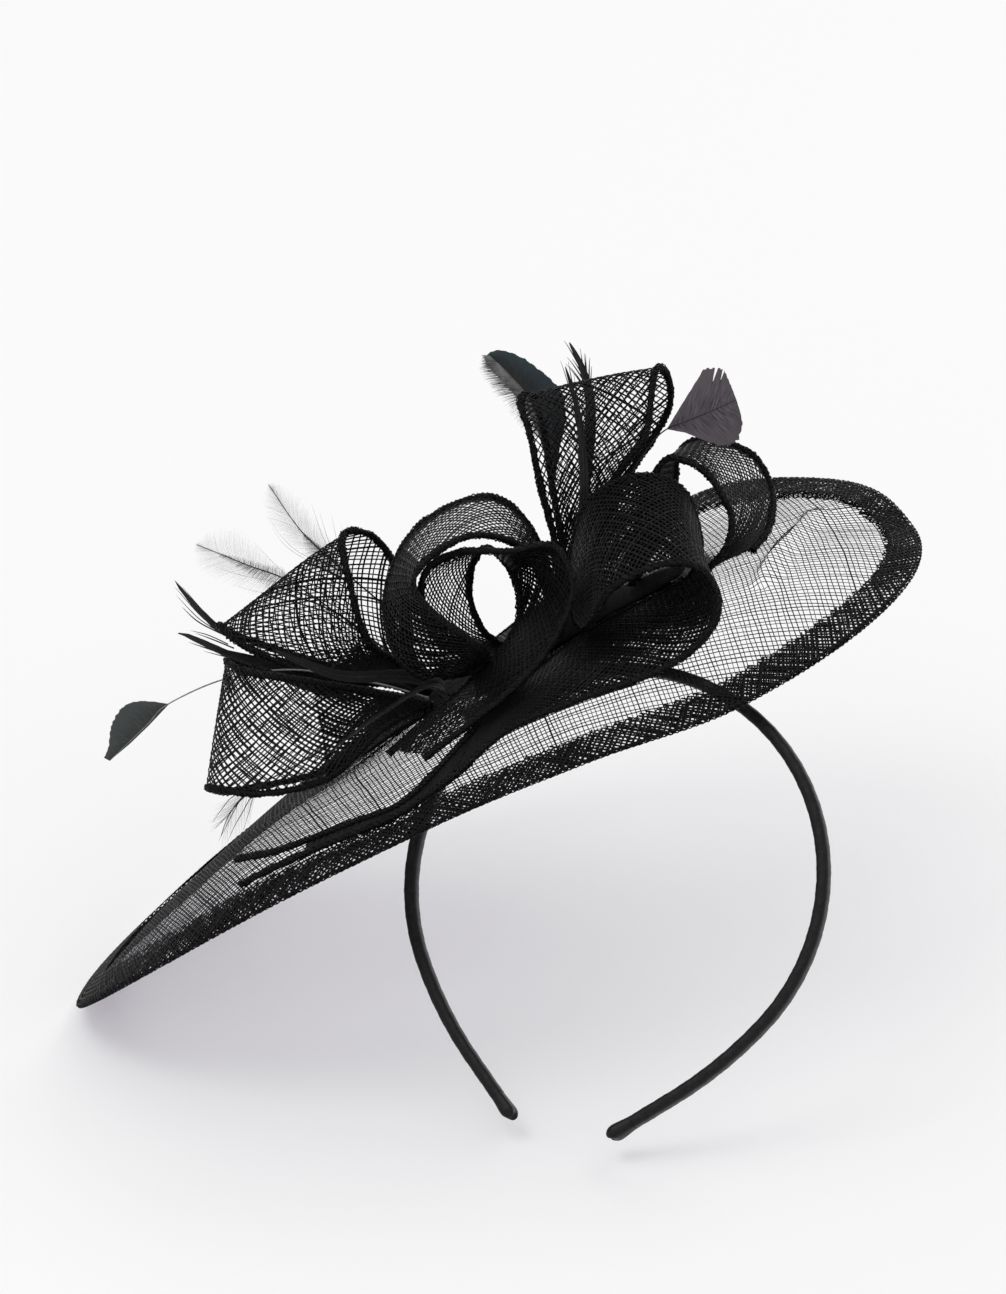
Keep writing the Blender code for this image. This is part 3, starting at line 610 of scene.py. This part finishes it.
RIBBONS = {
    "loop_left_low": (
        ((-8, -15, ON_BASE), (-11, -15.5, ON_BASE)), ((-20, -20, 15.5), (-25, -25, 7)),
        ((-38, -26, 33), (-48, -30, 4.3)), ((-53, -24, 44.5), (-68, -26, 9.5)),
        ((-57, -14, 50), (-81, -16, 19.5)), ((-52, -4, 44.5), (-74, -6, 14.5)),
        ((-36, -6, 28), (-47, -10, 4.5)), ((-18, -8, 12), (-22, -12, 6)), ((-9, -6, ON_BASE), (-12, -9, ON_BASE)),
    ),
    "loop_left_high": (
        ((-11, 3, ON_BASE), (-7, 5, ON_BASE)), ((-15, 2, 12), (-11, 5, 16)), ((-34, 0, 28.5), (-16, 4, 29)),
        ((-49, 0, 49), (-12, 5, 47)), ((-54, 6, 60.5), (-7, 11, 59)), ((-50, 14, 52), (1, 20, 52)),
        ((-33, 15, 30), (2, 22, 36)), ((-14, 12, 11), (-6, 16, 15)), ((-10, 9, ON_BASE), (-5, 11, ON_BASE)),
    ),
    "loop_ring": (
        ((30, 4, ON_BASE), (28, -6, ON_BASE)), ((40, 2, 9), (38, -16, 12)), ((45, 2, 33), (40, -22, 33)),
        ((38, 2, 49), (29, -28, 46)), ((16, -2, 52), (15, -34, 48.5)), ((-2, -10, 42), (5, -42, 46)),
        ((-10, -22, 27), (6, -48, 37)), ((-6, -28, 15), (11, -50, 27)), ((6, -26, 9), (14, -46, 19)),
        ((12, -9, ON_BASE), (13, -17, ON_BASE + 3)),
    ),
    "ring_tail": (
        ((21, 1, ON_BASE), (17, -5, ON_BASE)), ((17, -3, 13), (4, -22, 19)), ((18, -3, 24), (4, -26, 33)),
        ((23, -5, 33), (10, -27, 43)), ((30, -8, 37), (21, -28, 44)), ((33, -14, 31), (36, -36, 39)),
        ((33, -18, 25), (48, -36, 35)), ((31, -20, 19), (49, -40, 26)), ((26, -22, 13), (45, -44, 20)),
        ((15, -25, 8), (35, -48, 13)), ((2, -27, 5), (20, -54, 8)), ((-14, -29, 2.5), (-1, -58, 5)),
        ((-27, -31, ON_BRIM), (-18, -60, 3.6)),
    ),
    "loop_front": (
        ((44, -34, 6), (43, -13, ON_BASE)), ((49, -42, 11), (48, -7, 16)), ((57, -46, 19), (64, -7, 34)),
        ((71, -50, 24), (82, -9, 36)), ((82, -52, 24), (92, -12, 27)), ((86, -53, 17), (89, -18, 12)),
        ((82, -56, 8), (82, -21, 4)), ((69, -60, 2), (72, -21, 1.8)), ((53, -64, 1.5), (60, -21, 1.5)),
        ((30, -65, 1.5), (43, -25, 1.5)), ((8, -65, 1.5), (22, -37, 1.5)), ((-12, -74, 1.5), (4, -52, 1.5)),
        ((-31, -77, 1.5), (-26, -71.5, 1.5)), ((-49, -73.5, 1.5), (-46, -68, 1.5)),
        ((-63, -70, 1.5), (-60, -64.5, 1.5)), ((-76, -66, 1.4), (-73, -58.5, 1.4)), ((-86, -61.5, 1.2), (-84, -46, 1.2)),
    ),
    "loop_right": (
        ((64, 1, ON_BASE), (66, 8, ON_BASE)), ((76, 5, 21), (86, 24, 14)), ((91, 4, 34), (96, 25, 29)),
        ((97, 0, 33), (104, 25, 31)), ((101, -4, 28), (111, 25, 27)), ((102, -8, 20), (117, 25, 19)),
        ((101, -9, 13), (117, 22, 10)), ((97, -10, 7), (114, 14, 5)), ((92, -11, 3), (109, 3, 2.5)),
        ((87, -11, ON_BRIM), (102, -8, ON_BRIM)),
    ),
    "loop_top": (
        ((40, 6, ON_BASE), (48, 6, ON_BASE)), ((49, 8, 24), (66, 6, 27)), ((54, 7, 43), (79, 2, 38)),
        ((59, 6, 60), (90, 0, 45)), ((61, 10, 69), (102, 6, 61)), ((65, 17, 68), (105, 13, 57)),
        ((63, 22, 55), (102, 18, 47)), ((57, 22, 38), (93, 20, 39)), ((51, 19, 21), (72, 18, 26)),
        ((42, 12, ON_BASE), (49, 12, ON_BASE)),
    ),
}
ROLL_RADIUS = 1.0
STRAW_WIDE = 0.42
STRAW_THICK = 0.24
# Pitch of the weave, from where to where it lies threefold round a near-black inner ply that is painted shade
# between the plies, and where its face ends
PLIES = {
    "loop_left_low": (1.8, (0.0, 0.26), 1.0),
    "loop_left_high": (1.75, (0.0, 0.24), 1.0),
    "loop_ring": (1.75, (0.52, 1.0), 1.0),
    "ring_tail": (1.6, (0.4, 0.82), 1.0),
    "loop_front": (1.55, (0.0, 0.66), 0.9),
    "loop_right": (1.5, None, 1.0),
    "loop_top": (1.8, None, 1.0),
}


def rope(path, normals):
    """A rolled edge: a dark core with threads wound both ways round it."""
    gap = np.linalg.norm(np.diff(path, axis=0), axis=1)
    far = np.concatenate([[0], np.cumsum(gap)])
    at = np.linspace(0, far[-1], max(int(far[-1] / 1.4), 8))
    path = np.stack([np.interp(at, far, path[:, k]) for k in range(3)], 1)
    normals = np.stack([np.interp(at, far, normals[:, k]) for k in range(3)], 1)
    along = unit(np.gradient(path, axis=0))
    across = unit(np.cross(along, normals))
    up = np.cross(across, along)
    swell = 1 + 0.12 * np.sin(at * 0.21 + rng.uniform(0, 6)) + 0.07 * np.sin(at * 0.63 + rng.uniform(0, 6))
    round_it = np.linspace(0, 2 * pi, 9)[:-1]
    spokes = across[:, None] * np.cos(round_it)[None, :, None] + up[:, None] * np.sin(round_it)[None, :, None]
    core = path[:, None] + spokes * (ROLL_RADIUS * 0.8 * swell)[:, None, None]
    core_mesh = loft(core)
    turn = np.linspace(0, 2 * pi, 6)[:-1, None]
    wound = []
    for way in (1, -1):
        angle = turn + way * at[None] / (ROLL_RADIUS * 1.15) + rng.normal(0, 0.25, (5, 1))
        out = across[None] * np.cos(angle)[..., None] + up[None] * np.sin(angle)[..., None]
        high = ROLL_RADIUS * swell[None, :, None] * rng.uniform(0.92, 1.12, (5, 1, 1))
        high = high + rng.uniform(-0.12, 0.28, (5, len(at), 1))
        wound.append(strands(path[None] + out * high, out, thread_widths(5, 0.36), 0.28))
    return core_mesh, joined(wound)


def ribbon(name, pairs):
    edges = [np.array([pair[k] for pair in pairs], float) for k in (0, 1)]

    def spot(u, v):
        mixed = through(edges[0], u) * (1 - v)[..., None] + through(edges[1], u) * v[..., None]
        return brim_point(mixed[..., 0], mixed[..., 1], mixed[..., 2])

    u = np.linspace(0, 1, 201)
    middle = spot(u, np.full_like(u, 0.5))
    run = np.concatenate([[0], np.cumsum(np.linalg.norm(np.diff(middle, axis=0), axis=1))])
    wide = np.linalg.norm(spot(u, np.zeros_like(u)) - spot(u, np.ones_like(u)), axis=1)
    width = np.percentile(wide, 85)
    pitch, folded, end = PLIES[name]
    step = pitch / 2**0.5

    def share(i, j):
        return np.interp((i + j) * step, run, u), np.clip((i - j) * step / width, 0, 1)

    def normal(u, v):
        d = 0.004
        a = spot(np.clip(u + d, 0, 1), v) - spot(np.clip(u - d, 0, 1), v)
        b = spot(u, np.clip(v + d, 0, 1)) - spot(u, np.clip(v - d, 0, 1))
        return unit(np.cross(a, b))

    def ply(offset, start, stop):
        shift = 0.43 * (offset + 1)

        def surface(i, j):
            u, v = share(i + shift, j)
            points = spot(u, v) + normal(u, v) * offset
            return placed(points, BRIM) / MM, aimed(normal(u, v), BRIM)

        def inside(i, j):
            s, t = (i + shift + j) * step, (i + shift - j) * step
            return (s > start * run[-1]) & (s < stop * run[-1]) & (t > 0) & (t < width)

        most = int((run[-1] + width) / step / 2) + 2
        least = -int(width / step / 2) - 2
        return weave(surface, inside, np.arange(-1, most), np.arange(least, most), STRAW_WIDE, STRAW_THICK)

    plies = [ply(0.35 if folded else 0.0, 0.0, end)]
    if folded:
        plies += [ply(-0.35, *folded), ply(0.0, *folded)]
    verts, faces = joined(plies)
    cloth = mesh_object(name + "_cloth", verts * MM, faces, straw, "headpiece")
    # The middle ply of a folded ribbon takes the near-black straw: painted shade between the face and back plies
    if folded:
        cloth.data.materials.append(painted_shade_straw)
        inner = np.arange(len(faces)) >= len(faces) - len(plies[-1][1])
        cloth.data.polygons.foreach_set("material_index", inner.astype(int))
    cores, threads = [], []
    for v in (0.0, 1.0):
        at = np.full_like(u, v)
        core, wound = rope(placed(spot(u, at), BRIM) / MM, aimed(normal(u, at), BRIM))
        cores.append(core)
        threads.append(wound)
    verts, faces = joined(cores)
    core = mesh_object(name + "_roll", verts * MM, faces, rolled, "headpiece")
    verts, faces = joined(threads)
    wound = mesh_object(name + "_roll_threads", verts * MM, faces, straw, "headpiece")
    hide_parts(name)


# Feathers stand in a flat of their own: the root on the base, how they lean back and turn in degrees, and a
# spine of points (along, up) in millimetres from the root. The vane starts at a share of the spine.

FEATHERS = {
    "feather_coque": ((46, 16.5), 15, 0, (
        (0, 0), (5, 16), (12, 36), (18, 52), (18.8, 62), (17.8, 68), (16, 75), (14, 81),
    )),
    "feather_biot_back": ((52, 15.5), 15, 0, ((0, 0), (16, 32), (27.5, 52), (31, 63), (31.5, 73))),
    "feather_biot_front": ((47, 1), -4, 0, ((0, 0), (8, 16), (20, 37), (28, 56), (31.5, 71))),
    "feather_arrow": ((44.5, 9), 0, 1.5, (
        (0, 0), (16, 14), (35, 28), (46, 34), (52.4, 35.7), (59.6, 34.8), (68, 33.8), (75.8, 33.2),
    )),
    "feather_leaf": ((-8, -2), 0, 0, (
        (0, 0), (-12, 12), (-32, 28), (-52, 36), (-71.5, 37.8), (-80, 35.4), (-88, 33.2), (-96, 31),
    )),
    "feather_wisp_low": ((-6, 15.5), 18, 0, ((0, 0), (-9, 22), (-21.8, 48.5), (-32, 61.2), (-42.5, 74.2))),
    "feather_wisp_high": ((0, 16.5), 18, 0, ((0, 0), (-5, 24), (-13, 46), (-18, 62), (-19.9, 79.5))),
    "feather_spike_high": ((-13, 10.5), 13.5, 10, ((0, 0), (-22, 24), (-39.8, 47), (-43, 58), (-44.4, 69))),
    "feather_spike_low": ((-12.5, 0.5), 6, 0, ((0, 0), (-24, 18), (-43, 41), (-49, 49.5), (-54, 55.4))),
    "feather_hackle": ((-13, -13.5), 0, 3, ((0, 0), (-17, 4), (-40, 4), (-57, 4), (-66, 1), (-72, -4))),
    "feather_sickle_high": ((-4, -14.5), -30, 16, ((0, 0), (-8, 14), (-28, 28), (-40, 42), (-47, 52))),
    "feather_sickle_low": ((-2, -16), -62, 22, ((0, 0), (-10, 20), (-28, 22), (-42, 20), (-52, 16))),
}
BODIES = {"feather_coque": "coque", "feather_wisp_low": "wisp_low", "feather_wisp_high": "wisp_high"}

# Close vanes: where each starts on its spine, its paint, and its two edges from foot to tip or its half width
CLOSE_VANES = {
    "feather_coque": (0.286, coque_vane, (
        (
            (12.5, 36.5), (19, 45), (25, 52), (28, 58.5), (27.6, 63), (26.4, 67), (24.6, 71.2), (22.8, 75.1),
            (19.9, 78.9), (17, 81.4), (14.5, 82), (13.6, 81.8),
        ),
        (
            (11.5, 36.5), (13.5, 44), (15.3, 52), (15.8, 58), (15.2, 64), (14, 70), (12.6, 75), (11.6, 79),
            (12.2, 81.5), (13.6, 81.8),
        ),
    )),
    "feather_arrow": (0.571, arrow_vane, (
        (
            (52.4, 35.7), (58.8, 39.5), (65.2, 43.2), (71.5, 46.8), (74.3, 45.4), (77, 43.8), (76.6, 40.4),
            (76.3, 37), (75.8, 33.2),
        ),
        (
            (52.4, 35.7), (57, 31.8), (60.8, 27), (64.8, 22.7), (67.5, 21.6), (70.4, 21.7), (73.8, 25.2),
            (75, 29), (75.8, 33.2),
        ),
    )),
    "feather_leaf": (0.571, leaf_vane, (
        (
            (-71.5, 37.8), (-75, 40.6), (-78.8, 43), (-82.1, 44.1), (-85, 43.8), (-87.5, 42.6), (-89.5, 41.2),
            (-90.8, 40), (-92.5, 37.6), (-94, 35.3), (-95.6, 33.8), (-97.1, 32.7), (-96, 31),
        ),
        ((-71.5, 37.6), (-80, 34.8), (-88, 32.6), (-96, 31)),
    )),
    "feather_biot_back": (0.2, biot_vane, 2.1),
    "feather_biot_front": (0.2, biot_vane, 1.8),
    "feather_spike_high": (0.35, biot_vane, (
        ((-30, 34), (-35.5, 41.5), (-40.9, 48.5), (-43.2, 55), (-44.3, 61.5), (-44.8, 66.5), (-44.5, 69.8)),
        ((-30, 34), (-34, 38.5), (-37.8, 45), (-40.4, 52.5), (-42.4, 60), (-43.6, 66), (-44.5, 69.8)),
    )),
    "feather_spike_low": (0.2, biot_vane, (
        ((-12, 8), (-24, 16.5), (-34, 28), (-43, 39.5), (-47.5, 46), (-51, 51), (-53.8, 55.4)),
        (
            (-12, 14), (-18, 24.5), (-26, 31), (-36, 37.5), (-43, 43.5), (-48, 50), (-51.2, 53.8),
            (-53.8, 55.6),
        ),
    )),
    "feather_sickle_high": (0.05, biot_vane, 2.6),
    "feather_sickle_low": (0.05, biot_vane, 2.6),
}
NOTCHES = {"feather_arrow": (0.53, 0.63)}  # places of the splits in the upper edge

# Loose barbs: the feather, what they are called, start on the spine, last root on it, two edges, barbs on a
# side, barb width, and paint
LOOSE_VANES = (
    (
        "feather_coque", "barbs", 0.4, 0.98,
        ((12.2, 53), (12.1, 58.8), (10.5, 68.3), (9.6, 73.8), (9.8, 79), (12, 82.3)), None,
        260, 0.16, down_plume,
    ),
    (
        "feather_wisp_low", "barbs", 0.5, 0.97,
        ((-21.4, 49), (-23.6, 56), (-25.4, 62.5), (-28, 69.5), (-31.5, 73.5), (-37.4, 75.4), (-42.5, 74.8)),
        ((-30, 47.5), (-34.4, 51.6), (-38.5, 57), (-42.9, 63.2), (-45, 67.5), (-44, 72.3), (-42.8, 74.5)),
        150, 0.036, wisp_plume,
    ),
    (
        "feather_wisp_low", "down", 0.46, 0.86,
        ((-21, 49.5), (-22.6, 55.1), (-27, 58.6), (-31.8, 63.6), (-38.2, 69)),
        ((-24, 46.5), (-29.5, 50), (-31.8, 56), (-34.8, 61.6), (-38.4, 67.6)), 110, 0.1, down_plume,
    ),
    (
        "feather_wisp_high", "barbs", 0.5, 0.97,
        ((-11, 53), (-12, 59), (-12.6, 64.5), (-13.5, 69.5), (-15, 74.5), (-18, 78.8), (-20, 79.9)),
        ((-18.5, 49.5), (-21.5, 55), (-24, 62.4), (-25, 69), (-24, 74), (-22, 77.5), (-20, 79.8)),
        150, 0.036, wisp_plume,
    ),
    (
        "feather_wisp_high", "down", 0.46, 0.72,
        ((-13, 49), (-14, 52), (-15, 55.5), (-16.5, 58.5), (-17.6, 61)),
        ((-19, 47.5), (-20.8, 50), (-20.2, 53.5), (-19.2, 57.5), (-18, 61)), 70, 0.1, down_plume,
    ),
    (
        "feather_biot_back", "barbs", 0.4, 0.7, ((24.5, 57), (27.5, 66), (30.5, 75)),
        ((30.5, 56), (34.5, 64), (34.5, 73)), 8, 0.42, plume,
    ),
    (
        "feather_biot_front", "barbs", 0.45, 0.7, ((22.5, 48), (27, 60), (30.7, 72.5)),
        ((26, 47), (30.8, 58), (32.6, 71)), 6, 0.4, plume,
    ),
    (
        "feather_hackle", "down", 0.55, 0.82, ((-67, 5.4), (-71.5, 3), (-74.2, -1)),
        ((-62, -4.6), (-67, -7.2), (-73, -6.6)), 26, 0.06, down_plume,
    ),
)

# Single barbs that stand apart: their width, paint and lines
HAIRS = {
    "feather_spike_high": (0.4, plume, (
        ((-39, 46), (-43, 55), (-45.6, 67.7)), ((-39.5, 46.5), (-44, 55), (-46.4, 65.2)),
        ((-40, 47), (-44.8, 54.5), (-46.8, 61.1)), ((-38.6, 45), (-41.6, 56), (-43.4, 66.5)),
    )),
    "feather_spike_low": (0.4, plume, (
        ((-41, 43), (-45, 48), (-49.2, 52.9)), ((-42, 45), (-46, 50.4), (-50.1, 54.3)),
        ((-41, 38.5), (-45.7, 43), (-49.7, 46.8)), ((-43, 41), (-48, 46.6), (-52.4, 51.4)),
    )),
    "feather_hackle": (0.26, plume, (
        ((-55, 4), (-62.6, 5.1), (-67.7, 3.3), (-72.4, 1)),
        ((-54, 4), (-60.3, 3.1), (-66, 1.2), (-72.6, -0.9)),
        ((-54, 4), (-60.5, 3.3), (-65.1, 0.7), (-69.3, -2.1), (-73.3, -4.8)),
        ((-52, 4), (-58.2, 2), (-62.3, -0.5), (-66.8, -3.2), (-71, -6.4)),
        ((-51, 4), (-57.4, 1.7), (-60.8, -1.7), (-65.9, -6.5)),
    )),
    "feather_wisp_high": (0.1, plume, (
        ((-13.4, 48), (-12.8, 58), (-11, 67.9)), ((-13, 47), (-11.8, 56), (-10.1, 64.3)),
        ((-12.4, 45), (-9.6, 54), (-7.2, 61.7)), ((-12, 43), (-8, 51.5), (-6, 57.7)),
        ((-14.4, 48.5), (-20.9, 54.9), (-24, 62.4), (-24.9, 70.8)),
        ((-14.2, 48), (-20, 52), (-24.4, 60), (-25.4, 67)),
    )),
    "feather_wisp_low": (0.08, plume, (
        ((-21.2, 47.8), (-29, 54), (-36, 60), (-41, 66)), ((-21.6, 48.4), (-24.4, 58), (-26.6, 66)),
        ((-21, 47), (-31, 50.5), (-38.5, 57.5)),
    )),
}


def flat_points(points):
    return np.array([(*point, 0.0) for point in points])


def edge_at(edge, s):
    """A place along an edge whose points are evenly shared out over s."""
    edge = flat_points(edge)
    at = np.linspace(0, 1, len(edge))
    return np.stack([np.interp(s, at, edge[:, k]) for k in range(3)], -1)


def close_vane(spine, start, edge, way, notches):
    """A smooth half of a vane, from the spine out to its edge or to its half width."""
    s = np.linspace(0, 1, 240)
    t = np.linspace(0, 1, 9)
    share = start + (1 - start) * s
    inner = through(spine, share)
    if isinstance(edge, float):
        ahead = unit(through(spine, np.minimum(share + 0.01, 1)) - through(spine, share - 0.01))
        aside = np.stack([-ahead[:, 1], ahead[:, 0], np.zeros(len(s))], 1)
        half = edge * np.minimum(s / 0.2, 1) ** 0.7 * (1 - s) ** 0.6
        outer = inner + aside * way * half[:, None] + ahead * edge * (1 - s)[:, None]
    else:
        outer = edge_at(edge, s)
    span = outer - inner
    size = np.linalg.norm(span, axis=1)
    reach = 1 + rng.normal(0, 0.008, len(s)) + 0.015 * np.sin(s * 90 + 1.3)
    for place in notches:
        reach -= 0.3 * np.clip(1 - np.abs(s - place) / 0.018, 0, 1)
    points = inner[:, None] + span[:, None] * (t[None] * reach[:, None])[..., None]
    points[..., 2] += 0.1 * size[:, None] * np.sin(t[None] * pi * 0.8) * way
    points[..., 2] += 0.012 * size[:, None] * np.sin(s[:, None] * 23 + 2 * t[None]) * t[None]
    verts, faces = loft(points, closed=False)
    flat = np.stack(np.broadcast_arrays(s[:, None], t[None]), -1).reshape(-1, 2)
    return verts, faces, flat


def barbs(spine, start, last, edge, count, wide):
    """Single barbs from the spine to an edge, leaving it forwards and then curling out."""
    s = np.sort(np.clip(np.linspace(0, 1, count) + rng.normal(0, 0.3 / count, count), 0, 1))
    root = start + (last - start) * s
    inner = through(spine, root)
    ahead = unit(through(spine, np.minimum(root + 0.02, 1)) - inner + 1e-9)
    outer = inner + (edge_at(edge, s) - inner) * np.clip(rng.normal(1, 0.1, count), 0.5, 1.15)[:, None]
    size = np.linalg.norm(outer - inner, axis=1)[:, None, None]
    t = np.linspace(0, 1, 8)
    points = inner[:, None] + (outer - inner)[:, None] * t[None, :, None]
    points += ahead[:, None] * size * (0.3 * t * (1 - t))[None, :, None]
    points[..., 2] += (rng.normal(0, 0.06, (count, 1)) + 0.08) * size[..., 0] * t[None] ** 2
    width = wide * np.interp(t, [0, 0.5, 1], [1, 0.85, 0.2])[None] * rng.uniform(0.7, 1.3, (count, 1))
    normals = np.broadcast_to(np.array([0.0, 0.0, 1.0]), points.shape)
    return strands(points, normals, width, np.minimum(width, 0.12))


def hairs(lines, wide):
    """Long single barbs, each along a line of its own."""
    t = np.linspace(0, 1, 14)
    points = np.stack([through(flat_points(line), t) for line in lines])
    points[..., 2] += rng.normal(0, 0.3, (len(lines), 1)) * t[None]
    width = wide * np.interp(t, [0, 0.6, 1], [1, 0.8, 0.15])[None] * rng.uniform(0.8, 1.2, (len(lines), 1))
    normals = np.broadcast_to(np.array([0.0, 0.0, 1.0]), points.shape)
    return strands(points, normals, width, np.minimum(width, 0.15))


def feather(name, root, lean, turn, spine):
    plate = np.eye(4)
    plate[:3, :3] = np.array(Euler((pi / 2 - radians(lean), 0.0, radians(turn))).to_matrix())
    plate[:3, 3] = brim_point(root[0], root[1], ON_BASE + 1 / 3)
    plate = BRIM @ plate
    spine = flat_points(spine)
    body = BODIES.get(name, "headpiece")

    fine = np.linspace(0, 1, 160)
    path = through(spine, fine)
    ahead = unit(np.gradient(path, axis=0))
    aside = np.stack([-ahead[:, 1], ahead[:, 0], np.zeros(len(ahead))], 1)
    radius = np.interp(fine, [0, 1], [0.36, 0.1])
    ring = np.linspace(0, 2 * pi, 7)[:-1]
    flat_up = np.array([0, 0, 1.0])
    round_it = aside[:, None] * np.cos(ring)[None, :, None] + flat_up * np.sin(ring)[None, :, None]
    verts, faces = loft(path[:, None] + radius[:, None, None] * round_it)
    shaft = pale_quill if name == "feather_leaf" else quill_paint
    quill = mesh_object(name + "_quill", placed(verts, plate), faces, shaft, body)
    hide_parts(name)
    if name in CLOSE_VANES:
        start, paint, edges = CLOSE_VANES[name]
        edges = (edges, edges) if isinstance(edges, float) else edges
        cuts = (NOTCHES.get(name, ()), ())
        halves = [close_vane(spine, start, *half) for half in zip(edges, (1, -1), cuts)]
        verts, faces = joined([half[:2] for half in halves])
        flat = np.concatenate([half[2] for half in halves])
        mesh_object(name + "_vane", placed(verts, plate), faces, paint, body, flat)
    for owner, word, start, last, left, right, count, wide, paint in LOOSE_VANES:
        if owner == name:
            made = [barbs(spine, start, last, edge, count, wide) for edge in (left, right) if edge]
            verts, faces = joined(made)
            mesh_object(name + "_" + word, placed(verts, plate), faces, paint, body)
    if name in HAIRS:
        wide, paint, lines = HAIRS[name]
        verts, faces = joined([hairs([line], wide) for line in lines])
        mesh_object(name + "_hairs", placed(verts, plate), faces, paint, body)


# Headband satin

SATIN_BEND = 17  # millimetres to each side of a leg's hinge


def satin_band():
    """Two runs of satin from the seat to the tips, and a satin tip that goes with each leg."""
    ring = np.linspace(0, 2 * pi, 21)[:-1]
    power = 0.55
    wide = np.sign(np.cos(ring)) * np.abs(np.cos(ring)) ** power * SLEEVE_WIDTH / 2
    high = np.sign(np.sin(ring)) * np.abs(np.sin(ring)) ** power * SLEEVE_THICKNESS / 2
    for side, word in ((-1, "left"), (1, "right")):
        at = np.linspace(SEAT_AT, side * BAND_END, 240 if side > 0 else 140)
        crease = 1 + 0.02 * np.sin(at[:, None] * 0.9 + 2 * ring[None])
        crease = crease + 0.015 * np.sin(at[:, None] * 2.3 - ring[None])
        flat = band_at(np.repeat(at[:, None], len(ring), 1), high[None] * crease)
        flat[..., 2] += wide[None] * crease
        verts, faces = loft(flat)
        obj = mesh_object("satin_" + word, placed(verts, BAND), faces, satin)
        hinge = side * HINGE_AT
        start, end = placed(band_at(np.array([hinge - side * SATIN_BEND, hinge + side * SATIN_BEND])), BAND)
        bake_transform(obj)
        if side < 0:
            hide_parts("band_sleeve_left", "band_sleeve_crown")
        else:
            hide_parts("band_sleeve_right")

        u = np.array([0, 0.12, 0.26, 0.4, 0.54, 0.66, 0.78, 0.88, 0.96, 1.0, 0.98, 0.88, 0.7])
        broad = np.array([1.0, 1.02, 1.08, 1.16, 1.25, 1.31, 1.31, 1.22, 1.04, 0.84, 0.7, 0.55, 0.4])
        depth = np.array([1.0, 1.02, 1.06, 1.11, 1.16, 1.18, 1.16, 1.06, 0.86, 0.62, 0.42, 0.25, 0.12])
        fold = 0.14 * np.sin(3 * ring[None] + 1.0 + side) * np.sin(pi * np.minimum(u, 0.9))[:, None]
        tuck = 1.5 * np.interp(u, [0.6, 1.0], [0, 1])[:, None] * (1 - np.abs(np.cos(ring))[None] ** 1.5)
        far = side * (BAND_END + 0.1 + 9.0 * u[:, None] - tuck)
        flat = band_at(far, high[None] * depth[:, None] + fold)
        flat[..., 2] += wide[None] * broad[:, None]
        verts, faces = loft(flat)
        tip = mesh_object("satin_tip_" + word, placed(verts, BAND), faces, satin, "leg_" + word)
        smooth = tip.modifiers.new("smooth", "SUBSURF")
        smooth.levels = 1
        smooth.render_levels = 1
        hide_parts("band_tip_" + word)


# Felt pieces


def felt_piece(node_name, fibres):
    """The node's own shape with softened edges, a crumpled face and loose fibres standing off it."""
    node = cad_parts[node_name]
    mesh = node.data.copy()
    mesh.transform(node.matrix_world)
    whole = bmesh.new()
    whole.from_mesh(mesh)
    bmesh.ops.remove_doubles(whole, verts=whole.verts, dist=0.01 * MM)
    whole.to_mesh(mesh)
    whole.free()
    mesh.materials.clear()
    mesh.materials.append(felt)
    piece = bpy.data.objects.new(node_name + "_felt", mesh)
    bpy.context.scene.collection.objects.link(piece)
    soft = piece.modifiers.new("soft", "SUBSURF")
    soft.levels = 2
    soft.render_levels = 2
    soft.boundary_smooth = "ALL"
    corners = np.array([v.co[:] for v in mesh.vertices]) / MM
    mesh.calc_loop_triangles()
    tris = corners[np.array([t.vertices[:] for t in mesh.loop_triangles])]
    facing = np.cross(tris[:, 1] - tris[:, 0], tris[:, 2] - tris[:, 0])
    size = np.linalg.norm(facing, axis=1)
    pick = rng.choice(len(tris), fibres, p=size / size.sum())
    share = rng.dirichlet((1, 1, 1), fibres)
    foot = np.einsum("nk,nkd->nd", share, tris[pick])
    out = unit(facing[pick])
    lie = unit(np.cross(out, rng.normal(0, 1, (fibres, 3))))
    t = np.linspace(0, 1, 5)[None, :, None]
    curl = rng.uniform(0.5, 1.4, (fibres, 1, 1))
    points = foot[:, None] + lie[:, None] * curl * t + out[:, None] * 0.22 * np.sin(t * pi)
    verts, faces = strands(points, np.broadcast_to(out[:, None], points.shape), 0.05, 0.05)
    fuzz = mesh_object(node_name + "_fuzz", verts * MM, faces, felt, "headpiece")
    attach(piece, "headpiece")
    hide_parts(node_name)


stage()
brim_weave()
binding_weave()
for ribbon_name, ribbon_pairs in RIBBONS.items():
    ribbon(ribbon_name, ribbon_pairs)
for feather_name, shape in FEATHERS.items():
    feather(feather_name, *shape)
satin_band()
felt_piece("seat_pad", 900)
felt_piece("trim_base", 5000)

plain = {"band_core": moulded, "brim_wire": wrapped, "seat_stitch": cotton}
for node_name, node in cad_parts.items():
    for start, paint in plain.items():
        if node_name.startswith(start):
            node.data.materials.clear()
            node.data.materials.append(paint)
